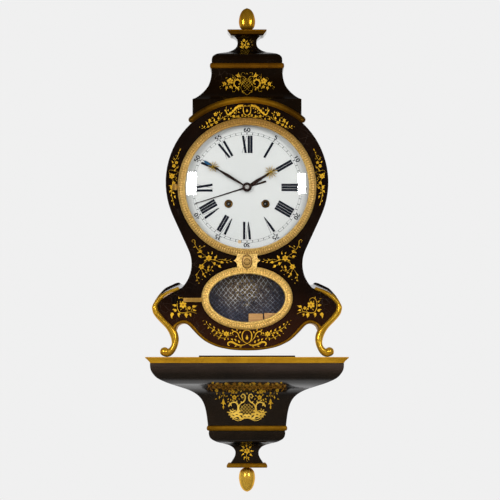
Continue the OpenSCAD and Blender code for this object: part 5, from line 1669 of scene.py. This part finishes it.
# beside the dial
o = Ornament(flat_front, 150.0, size=1.4)
o.S([(179.6, 147.6), (179.2, 150.8), (178.4, 153.6), (177.2, 156.6), (175.4, 159.4), (174.0, 161.6)], 0.26)
o.S([(178.0, 155.4), (176.2, 155.0), (174.8, 156.4)], 0.20)
o.S([(176.2, 158.4), (178.2, 158.8), (179.0, 157.4)], 0.20)
o.S([(174.0, 160.0), (173.2, 158.0), (173.6, 156.0)], 0.20)
o.L(179.9, 149.2, 25, 3.8, 0.8)
o.L(178.4, 152.6, 200, 2.6, 0.7)
o.L(177.4, 156.2, 230, 2.8, 0.7)
o.L(171.9, 161.7, -35, 4.6, 1.1, shape=1)
o.L(174.4, 158.8, 215, 2.6, 0.7)
o.F(176.3, 162.3, 2.5, 5)
o.F(173.8, 165.7, 2.9, 5, 30)
o.L(177.6, 166.8, 48, 4.4, 0.8, shape=1)
o.L(175.0, 169.6, 50, 3.8, 0.8, shape=1)
o.S([(178.6, 165.2), (176.2, 167.6), (173.8, 170.4)], 0.30)
o.S([(168.4, 171.8), (169.8, 170.0), (172.4, 170.2), (175.0, 171.2), (177.8, 171.0)], 0.24)
o.B(178.0, 172.2, 0.75)
o.B(176.6, 173.8, 0.6)
o.F(171.7, 176.0, 4.3, 6)
o.L(169.4, 173.2, -50, 3.0, 0.9, shape=1)
o.L(174.4, 174.0, 70, 3.0, 0.8, shape=1)
o.B(174.9, 176.6, 0.7)
o.B(176.4, 177.8, 0.8)
o.B(176.6, 180.4, 0.8)
o.B(175.4, 179.0, 0.6)
o.S([(172.4, 178.6), (173.0, 180.8), (172.2, 184.0), (171.6, 188.0), (171.2, 192.0), (171.8, 196.0), (172.8, 200.2), (174.4, 204.8)], 0.44)
o.F(173.6, 182.8, 2.7, 5)
o.L(176.0, 184.4, 60, 3.2, 0.9, shape=1)
o.L(170.0, 186.2, -70, 5.2, 1.4, shape=1)
o.F(170.9, 187.6, 2.0, 5, 20)
o.F(174.9, 187.6, 2.2, 5)
o.L(176.8, 186.2, 40, 2.6, 0.7)
o.L(170.2, 191.6, 215, 4.6, 1.3, shape=1)
o.L(173.9, 192.6, 120, 4.8, 1.3, shape=1)
o.L(172.6, 189.4, 20, 3.0, 0.8)
o.L(171.4, 195.6, 200, 3.6, 1.0, shape=1)
o.L(175.3, 197.0, 160, 4.8, 1.3, shape=1)
o.L(172.2, 201.0, 160, 3.4, 0.9, shape=1)
o.L(174.2, 204.4, 155, 4.0, 0.9, shape=1)
o.done("gilt_beside_dial", "clock_case")

# waist
o = Ornament(flat_front, 150.0, size=1.35)
o.S([(193.0, 242.6), (191.9, 241.0), (193.2, 239.6), (194.8, 240.8), (195.0, 244.4), (197.4, 248.8), (201.4, 252.8), (206, 256.4)], 0.42)
o.S([(198.6, 250.8), (201.0, 247.6), (204.6, 246.8)], 0.3)
o.S([(209.8, 259.6), (214.6, 260.0), (219.0, 261.8), (222.4, 261.4)], 0.4)
o.S([(216.0, 260.4), (221.0, 259.4), (226.0, 260.6), (229.4, 260.2), (230.8, 258.8)], 0.32)
o.S([(211.6, 261.4), (214.4, 264.2), (218.6, 265.4)], 0.36)
o.S([(207.4, 260.8), (204.0, 263.0), (201.6, 266.8)], 0.4)
o.S([(203.4, 268.2), (206.4, 271.0), (210.2, 270.6), (211.4, 268.0)], 0.36)
o.S([(201.2, 269.2), (202.8, 272.6), (204.2, 276.6)], 0.36)
o.S([(200.0, 269.6), (197.6, 273.2), (196.6, 277.4), (197.8, 281.2)], 0.34)
o.S([(201.0, 258.2), (204.4, 256.8), (207.4, 257.2)], 0.34)
for x, y, a, L, w in ((199.6, 256.8, 290, 5.2, 2.2), (198.2, 252.8, 250, 3.6, 1.2), (215.6, 256.4, 35, 5.4, 2.0), (211.8, 252.6, 5, 4.8, 1.0), (208.0, 252.8, -25, 3.6, 1.0),
                      (222.4, 261.9, 100, 5.2, 2.2), (220.2, 266.4, 135, 5.6, 2.2), (214.8, 264.0, 185, 5.0, 2.1), (225.4, 259.0, 60, 3.2, 0.9), (227.4, 262.2, 115, 3.4, 0.9),
                      (231.2, 261.4, 95, 3.2, 0.8), (205.0, 261.0, 240, 3.8, 1.4), (208.4, 266.4, 20, 4.6, 1.8), (211.8, 266.6, 20, 3.2, 1.0), (203.4, 274.6, 200, 4.6, 1.6),
                      (205.4, 276.4, 140, 3.8, 1.3), (206.6, 272.4, 120, 3.2, 1.0), (196.2, 275.0, 235, 3.2, 1.0), (198.6, 277.6, 120, 3.2, 1.0), (196.6, 280.8, 215, 3.0, 0.9),
                      (194.2, 247.4, 240, 3.2, 0.9), (204.4, 245.8, 60, 3.0, 0.8), (199.6, 246.0, 20, 2.8, 0.8), (213.0, 270.6, 110, 3.0, 0.9)):
    o.L(x, y, a, L, w, shape=1)
o.F(208.8, 258.2, 5.0, 6)
o.F(201.5, 266.8, 4.5, 6, 20)
o.F(200.6, 251.4, 2.6, 5)
o.F(214.6, 259.6, 1.9, 5)
o.F(208.2, 269.6, 1.8, 5, 15)
o.B(199.0, 283.2, 0.6)
o.B(209.8, 274.6, 0.6)
o.B(202.2, 279.6, 0.6)
o.done("gilt_waist", "clock_case")

# ears
o = Ornament(flat_front, 150.0, size=1.0)
o.S([(197.0, 314.0), (194.4, 312.6), (190.9, 311.8), (186.8, 312.4), (183.7, 312.9), (179.6, 312.2), (177.4, 308.2), (177.2, 303.2), (178.4, 299.3), (181.4, 297.7), (184.0, 298.9), (184.2, 300.8)], 0.62)
o.S([(190.9, 311.8), (192.2, 308.8), (193.6, 306.8)], 0.4)
o.S([(186.8, 312.4), (187.4, 309.6), (185.4, 307.2)], 0.4)
for x, y, a, L, w in ((172.6, 315.8, 190, 11.4, 4.0), (174.1, 310.4, 300, 8.6, 3.4), (174.0, 305.6, 285, 7.8, 3.0), (174.8, 301.6, 305, 5.8, 2.1), (179.4, 315.2, 182, 8.8, 3.4),
                      (186.9, 315.7, 178, 9.4, 4.2), (190.9, 315.0, 165, 6.4, 2.7), (194.6, 305.8, 75, 9.2, 3.0), (194.9, 309.9, 100, 6.8, 2.5), (178.6, 297.4, -15, 4.2, 1.4),
                      (181.0, 309.2, 40, 3.6, 1.2), (173.4, 298.9, -75, 4.0, 0.8), (185.6, 309.0, 330, 3.8, 1.3)):
    o.L(x, y, a, L, w, shape=1)
o.size = 1.55
o.F(183.0, 304.9, 5.2, 6)
o.F(189.1, 308.1, 2.5, 5, 15)
o.B(180.4, 301.4, 0.9)
o.done("gilt_ears", "clock_case")

# apron
o = Ornament(flat_front, 150.0, size=1.25)
o.L(247, 337.2, 0, 7.8, 2.5, 0.0, shape=1)
o.S([(247, 330.2), (244.2, 331.0), (242.4, 334.0), (242.4, 338.2), (244.0, 341.8), (247, 343.4)], 0.95)
o.B(246.4, 343.6, 1.0)
o.S([(245.4, 344.4), (241.0, 345.4), (236.4, 344.4), (232.4, 342.2), (229.0, 342.4), (227.8, 344.4), (229.4, 345.8)], 1.7, h=0.5)
o.S([(242.6, 341.2), (239.4, 337.4), (237.8, 333.4), (234.6, 331.4), (232.2, 333.0), (233.4, 335.0)], 0.95)
for x, y, a, L, w in ((238.6, 341.8, -35, 5.0, 1.7), (235.0, 340.2, -42, 5.0, 1.6), (231.6, 339.6, -48, 4.4, 1.4), (240.6, 347.2, 250, 3.8, 1.1), (235.6, 346.6, 235, 4.0, 1.2),
                      (236.4, 336.8, 235, 3.8, 1.2), (239.8, 332.0, 20, 4.4, 1.3), (236.6, 329.6, -20, 4.0, 1.2), (243.6, 329.0, -25, 3.8, 1.1), (241.0, 328.4, -60, 3.0, 0.9),
                      (232.2, 330.4, -50, 3.6, 1.1)):
    o.L(x, y, a, L, w)
o.S([(232.0, 335.4), (227.0, 334.6), (221.0, 333.2), (215.0, 330.6), (210.0, 327.0), (206.6, 323.2)], 0.42)
o.S([(228.6, 336.2), (223.4, 338.2), (217.6, 336.4), (213.2, 333.6)], 0.36)
for x, y, a, L, w in ((230.4, 332.8, 20, 3.8, 1.2), (222.6, 331.0, -15, 4.6, 1.6), (221.0, 336.0, 215, 4.6, 1.7), (218.2, 329.8, -25, 4.6, 1.6), (216.6, 333.8, 215, 4.6, 1.7),
                      (213.8, 327.2, -30, 4.2, 1.5), (212.6, 331.6, 220, 4.2, 1.5), (209.8, 324.2, -30, 3.8, 1.3), (208.4, 328.2, 225, 3.8, 1.3), (206.2, 321.8, -20, 3.4, 1.0),
                      (204.6, 324.6, 260, 3.0, 0.9), (225.0, 339.6, 190, 3.8, 1.3), (219.0, 338.6, 200, 3.8, 1.3), (214.2, 335.8, 215, 3.4, 1.1), (228.4, 339.0, 160, 3.4, 1.1)):
    o.L(x, y, a, L, w, shape=1)
o.F(226.4, 334.0, 4.7, 6)
o.F(219.8, 332.8, 2.0, 5)
o.F(213.8, 330.0, 1.9, 5)
o.B(203.2, 320.8, 0.6)
o.B(210.6, 333.6, 0.6)
o.done("gilt_apron", "clock_case")

# hood
FLARE = [(108, 518), (102.5, 520.8), (94.4, 527), (86, 535.6), (78.4, 546.2), (74.4, 556.8), (72.4, 566.8), (71.8, 575.2), (72, 582.4)]
NECK = [(71.2, 593.8), (71.3, 600.6), (69.2, 607.6), (62, 613), (50.4, 616.5), (37.6, 619.7), (27.6, 624.8), (21.2, 631.4), (19.3, 638.8), (20.3, 646.2), (25.3, 651.7), (30.4, 654)]
o = Ornament(curved_front(FLARE, 1.0, 35.4), 112.0, size=1.45)
# open trellis that narrows to a point below
for c in (-2, -1, 0, 1, 2):
    x0 = 247.8 + c * 3.0
    a, b = (x0 - 5.2, 83.0 - 5.4), (x0 + 7.2, 83.0 + 7.6)
    P = []
    for i in range(13):
        t = i / 12
        x, y = a[0] + (b[0] - a[0]) * t, a[1] + (b[1] - a[1]) * t
        if abs(x - 247) < 6.2 - 0.55 * abs(y - 82.5) + (2.0 if y < 82 else 1.2) and 76.4 < y < 92.5:
            P.append((x, y))
    if len(P) > 2:
        o.S(P, 0.19, 0.19, 0.3, 2)
o.S([(241.6, 89.8), (243.4, 92.2), (247.0, 95.7)], 0.30, 0.30)
o.S([(241.6, 89.8), (240.8, 86.6), (242.6, 82.6), (245.2, 79.4), (244.6, 76.4), (241.8, 75.4), (240.2, 77.0), (241.0, 78.6)], 0.34)
o.S([(243.8, 93.0), (242.2, 92.4), (242.4, 90.8), (244.0, 90.6)], 0.22)
o.S([(245.8, 73.6), (243.4, 71.6), (241.2, 72.6), (241.8, 74.2)], 0.22)
o.L(247, 72.6, 0, 2.8, 0.6, 0.0)
# ring of leaves with its tail
o.S([(239.6, 83.4), (240.2, 81.2), (238.6, 79.2), (236.0, 79.2), (234.2, 81.2), (234.2, 84.0), (235.8, 86.4), (238.4, 88.2), (238.8, 90.0)], 1.35, h=0.5)
for x, y, a, L, w in ((240.0, 79.6, 40, 2.8, 0.9), (237.4, 78.0, 5, 2.8, 0.9), (234.4, 79.2, -45, 2.8, 0.9), (233.0, 82.4, -90, 2.8, 0.9), (233.8, 85.8, 240, 3.0, 0.9),
                      (236.2, 88.0, 220, 3.0, 0.9), (238.8, 86.2, 60, 2.8, 0.9), (239.2, 83.6, 130, 2.6, 0.8), (238.6, 89.6, 170, 3.0, 0.9)):
    o.L(x, y, a, L, w)
o.F(230.2, 80.2, 4.6, 5)
o.F(224.6, 83.1, 2.9, 5)
o.F(238.2, 74.8, 2.9, 5)
o.F(230.6, 86.4, 2.4, 5)
o.F(226.6, 87.4, 2.3, 5, 30)
for x, y, a, L, w in ((238.2, 72.4, 0, 2.6, 0.7), (228.6, 84.0, 230, 2.8, 0.9), (232.4, 88.2, 200, 2.8, 0.8), (227.0, 80.6, -60, 2.8, 0.8), (222.4, 81.8, -60, 2.4, 0.7),
                      (223.4, 85.6, 220, 2.4, 0.7), (232.6, 76.8, -20, 3.0, 0.8), (240.4, 75.6, 70, 2.6, 0.7), (226.6, 89.6, 190, 2.4, 0.7), (235.8, 74.6, -80, 2.2, 0.6)):
    o.L(x, y, a, L, w, shape=1)
o.S([(233.8, 82.8), (230.0, 83.6), (226.6, 84.6), (222.0, 84.8)], 0.24)
o.S([(236.4, 79.2), (235.0, 76.6), (232.8, 74.6), (232.0, 73.0)], 0.2)
o.S([(229.0, 78.0), (227.0, 76.8), (225.6, 77.6), (226.0, 79.0)], 0.2)
o.S([(222.0, 84.8), (220.2, 86.0), (219.8, 87.6), (221.6, 88.4)], 0.18)
o.S([(236.4, 89.0), (234.6, 91.4), (231.8, 91.0)], 0.18)
o.done("gilt_hood", "clock_case")

o = Ornament(curved_front(NECK, 1.0, 35.4), 56.0, mirror=False)
for x, y, r in ((243.9, 39.7, 2.2), (242.0, 43.0, 2.0), (248.2, 43.2, 2.1), (242.2, 46.2, 2.5), (246.6, 46.6, 2.3), (244.6, 44.4, 1.7)):
    o.F(x, y, r, 5)
o.S([(244.6, 47.4), (245.2, 44.0), (245.8, 41.2), (247.6, 39.6)], 0.40)
for x, y, a, L, w in ((246.8, 40.0, 40, 2.6, 0.8), (241.2, 41.0, -50, 2.6, 0.8), (240.6, 46.8, -110, 2.6, 0.8), (248.6, 45.8, 120, 2.4, 0.8)):
    o.L(x, y, a, L, w, shape=1)
o.s.mat = 1
for x, y, r in ((251.4, 41.4, 1.6), (252.4, 44.2, 1.5)):
    o.F(x, y, r, 5, 0, False)
for x, y, a, L, w in ((250.4, 38.8, 30, 2.6, 0.6), (251.0, 46.2, 150, 2.6, 0.6), (253.0, 39.8, 60, 2.0, 0.5)):
    o.L(x, y, a, L, w, shape=1)
o.s.mat = 0
o.done("gilt_neck", "clock_case", ("gilt_ornament", "gilt_dull"))

# console
CONS = [(193.5, -12), (193, -22), (189.4, -31), (179.6, -42), (161.5, -51), (141, -58), (118, -66), (102.5, -74.5), (92, -85), (85.5, -99), (81.5, -117), (79, -138.5)]
cons = curved_front(CONS, 0.72, 25.9)
o = Ornament(cons, 118.0, size=1.2)
rnd = random.Random(11)
for i in range(19):
    x = 246.2 - i * 2.05
    y = 386.8 + 1.5 * math.sin(i * 1.9)
    if i % 3 == 0:
        o.F(x, y - 1.4, 2.3 + 0.6 * rnd.random(), 5, 36 * rnd.random())
    elif i % 3 == 1:
        o.F(x, y + 1.2, 1.8 + 0.5 * rnd.random(), 5, 36 * rnd.random())
    for q in range(3):
        o.L(x + rnd.uniform(-1.0, 1.0), y + rnd.uniform(-3.6, 3.6), rnd.uniform(0, 360), rnd.uniform(2.6, 3.8), rnd.uniform(0.7, 1.1), shape=1)
    if rnd.random() < 0.55:
        o.S([(x, y), (x - 1.8, y - 1.8), (x - 3.6, y + rnd.uniform(-1, 1.4)), (x - 2.6, y + 2.4)], 0.26)
o.S([(247, 385.4), (239, 386.6), (230, 385.2), (221, 386.6), (212, 385.6), (208.6, 386.4)], 0.34)
o.S([(247, 389.0), (240, 388.0), (231, 389.2), (222, 388.0), (214, 388.6), (209.6, 387.6)], 0.34)
o.done("gilt_garland", "console", ("gilt_faded", "gilt_ornament"))

o = Ornament(cons, 96.0, size=1.35)
# buds of the garland that have kept their shine
for x, y, r, n in ((240.0, 383.6, 2.7, 5), (243.6, 384.0, 1.7, 5), (226.2, 383.6, 2.6, 5), (217.4, 383.6, 2.3, 5), (216.8, 390.4, 3.0, 5), (232.8, 391.6, 3.6, 5), (229.4, 391.2, 2.2, 5),
                   (236.2, 392.4, 2.0, 5), (234.4, 397.4, 4.0, 5), (213.0, 382.6, 1.8, 5), (223.4, 392.8, 1.8, 5)):
    o.F(x, y, r, n)
for x, y, a, L, w in ((217.2, 393.8, 185, 3.4, 1.1), (219.8, 397.8, 190, 4.4, 1.5), (228.4, 399.4, 215, 3.6, 1.2), (226.6, 396.4, 250, 3.2, 1.0), (230.8, 400.0, 200, 3.2, 1.0),
                      (241.0, 391.6, 220, 3.4, 1.0), (238.6, 389.8, 100, 3.2, 0.9), (222.0, 396.2, 200, 3.0, 0.9), (225.0, 395.6, 160, 3.0, 0.9), (215.8, 399.2, 250, 3.0, 0.7),
                      (238.2, 395.4, 60, 3.2, 1.0), (230.8, 395.2, -60, 3.2, 1.0), (228.0, 402.0, 230, 3.0, 0.9), (239.4, 399.0, 140, 2.8, 0.8)):
    o.L(x, y, a, L, w, shape=1)
o.S([(224.6, 389.0), (223.4, 393.6), (223.4, 399.0)], 0.26)
o.S([(236.6, 399.2), (232.4, 400.8), (228.6, 401.0)], 0.24)
o.S([(219.6, 391.0), (220.2, 394.4), (219.8, 397.0)], 0.22)
# tassel
o.L(223.4, 402.6, 180, 12.0, 2.0, 0.0)
o.L(223.4, 407.6, 180, 5.4, 1.5, 0.0, shape=1)
o.L(221.6, 403.4, 235, 3.0, 1.0, shape=1)
o.L(225.2, 403.4, 125, 3.0, 1.0, shape=1)
o.done("gilt_buds", "console")

# cartouche: necks, side scrolls and leafy foot
o = Ornament(cons, 96.0, size=1.45)
o.S([(242.0, 397.8), (241.4, 395.6), (243.0, 394.0), (244.8, 395.4), (245.2, 398.6), (243.8, 401.6), (240.8, 403.6), (238.9, 406.2), (238.7, 410.0)], 1.25)
o.B(242.2, 397.6, 1.1)
o.L(240.9, 396.6, -60, 2.4, 0.8)
o.L(243.6, 397.4, 190, 2.2, 0.6)
# the curl with its leafy end
o.S([(237.9, 410.4), (238.1, 407.0), (237.4, 404.2), (235.4, 402.4), (232.8, 402.3), (230.8, 403.6), (230.0, 405.4)], 1.45, 1.2)
o.L(229.8, 403.6, -55, 3.4, 1.4, shape=1)
o.L(229.3, 406.0, 205, 4.0, 1.5, shape=1)
o.L(231.4, 405.2, 160, 3.2, 1.3, shape=1)
o.L(232.6, 400.6, -30, 2.6, 0.9)
o.L(236.6, 401.0, 15, 2.8, 0.9)
o.S([(239.2, 404.8), (238.6, 407.6), (238.6, 411.6)], 1.5, 1.5)
# the filled foot
o.V([(228.4, 412.7, 0.12), (229.6, 412.8, 1.1), (231.2, 413.0, 2.6), (233.2, 413.6, 4.0), (235.6, 414.1, 5.3), (237.8, 414.4, 6.0), (239.8, 415.9, 4.7), (241.8, 416.4, 3.7),
     (244.2, 416.4, 2.8), (247.0, 416.4, 2.4)], 0.4)
o.S([(229.6, 414.2), (231.6, 416.8), (234.2, 419.2), (237.2, 420.6), (240.0, 420.6), (242.4, 419.4), (244.6, 418.5), (247.0, 418.3)], 0.6, 0.5, 0.55)
for x, y, a, L, w in ((228.0, 412.4, -80, 3.2, 1.0), (230.4, 410.4, -55, 3.2, 1.1), (232.6, 409.4, -30, 2.6, 0.9), (229.4, 415.0, 245, 3.0, 1.0), (231.2, 417.2, 238, 2.8, 0.9),
                      (233.2, 419.0, 232, 2.6, 0.8), (241.0, 401.8, -10, 2.8, 0.9), (246.4, 393.2, 20, 2.6, 0.7)):
    o.L(x, y, a, L, w)
# shaded slits between the leaves
o.s.mat = 1
o.lift = 3.2
for x, y, a, L, w in ((237.2, 418.2, -72, 6.4, 1.35), (240.8, 416.4, -50, 5.6, 1.35), (240.6, 412.6, -100, 5.2, 1.15), (243.2, 415.0, -115, 3.4, 0.85), (234.2, 412.4, -125, 4.4, 0.90),
                      (233.0, 415.6, -70, 4.0, 0.80), (236.4, 410.8, -150, 3.8, 0.80), (244.8, 416.8, -80, 3.2, 0.75), (231.0, 412.8, -100, 3.2, 0.70), (236.6, 414.8, -100, 3.4, 0.75)):
    o.L(x, y, a, L, w)
o.s.mat = 0
o.lift = 1.0
o.L(247, 416.6, 0, 3.0, 1.3, 0.0, shape=1)
# trellis of the cartouche
for c in range(-6, 7):
    P = []
    for i in range(17):
        t = i / 16
        x, y = 247 + c * 3.25 - 6.0 + 12.0 * t, 402.4 + 12.6 * t
        u = abs(x - 247)
        if u < 7.2 - 0.05 * (y - 409.0) ** 2 and 403.4 < y < 415.0 and (y > 405.4 or u < 3.2):
            P.append((x, y))
    if len(P) > 2:
        o.S(P, 0.42, 0.42, 0.4, 2)
o.done("gilt_cartouche", "console", ("gilt_cartouche", "shade"))

BOWL = [(77, -149), (77, -157), (73, -165), (61, -171.8), (45, -176), (32, -181), (25.2, -188), (23.6, -194), (24.6, -201), (28.6, -208.4), (33.5, -215.5)]
o = Ornament(curved_front(BOWL, 0.72, 25.9), 44.0, mirror=False)
o.F(247.0, 450.8, 4.4, 6)
for x, y, a, L, w in ((241.6, 450.8, -95, 5.4, 1.6), (242.6, 447.0, -50, 4.8, 1.4), (246.0, 445.0, -5, 4.8, 1.4), (250.2, 446.4, 40, 4.6, 1.4), (252.2, 450.4, 90, 5.0, 1.5),
                      (251.4, 454.6, 130, 4.8, 1.4), (242.8, 454.6, -130, 4.6, 1.4), (244.8, 458.2, 200, 4.6, 1.3), (248.8, 458.4, 165, 4.6, 1.3)):
    o.L(x, y, a, L, w, shape=1)
o.S([(247.0, 453.0), (246.4, 457.0), (247.2, 461.6)], 0.5)
o.done("gilt_bowl", "console")

# ------------------------------------------------------------------ floor
fs = Soup()
ring = [(2000 * math.cos(2 * math.pi * i / 96), 2000 * math.sin(2 * math.pi * i / 96)) for i in range(96)]
base = fs.add([(x, y + 150, -1240.0) for x, y in ring])
fs.face(*[base + i for i in range(96)][::-1])
fm = Mat("pale_floor")
fn = fm.noise(3.0, 4.0)
# seen directly it is evenly pale, like the backdrop; it lights the object as a pale matt floor does
seen = fm.new("ShaderNodeLightPath").outputs["Is Camera Ray"]
fm.bsdf(Base_Color=fm.mix(seen, fm.mix(fm.remap(fn, 0.3, 0.7, 0.0, 1.0), (0.80, 0.80, 0.80), (0.83, 0.83, 0.83)), (0.17, 0.17, 0.17)),
        Roughness=0.75, Emission_Color=(1.0, 1.0, 1.0, 1.0), Emission_Strength=fm.math("MULTIPLY", seen, 0.74))
me = bpy.data.meshes.new("floor")
me.from_pydata([(x * MM, -d * MM, (z + SHELF) * MM) for x, d, z in fs.v], [], fs.f)
me.materials.append(fm.m)
floor = bpy.data.objects.new("floor", me)
scene.collection.objects.link(floor)
floor.visible_glossy = False
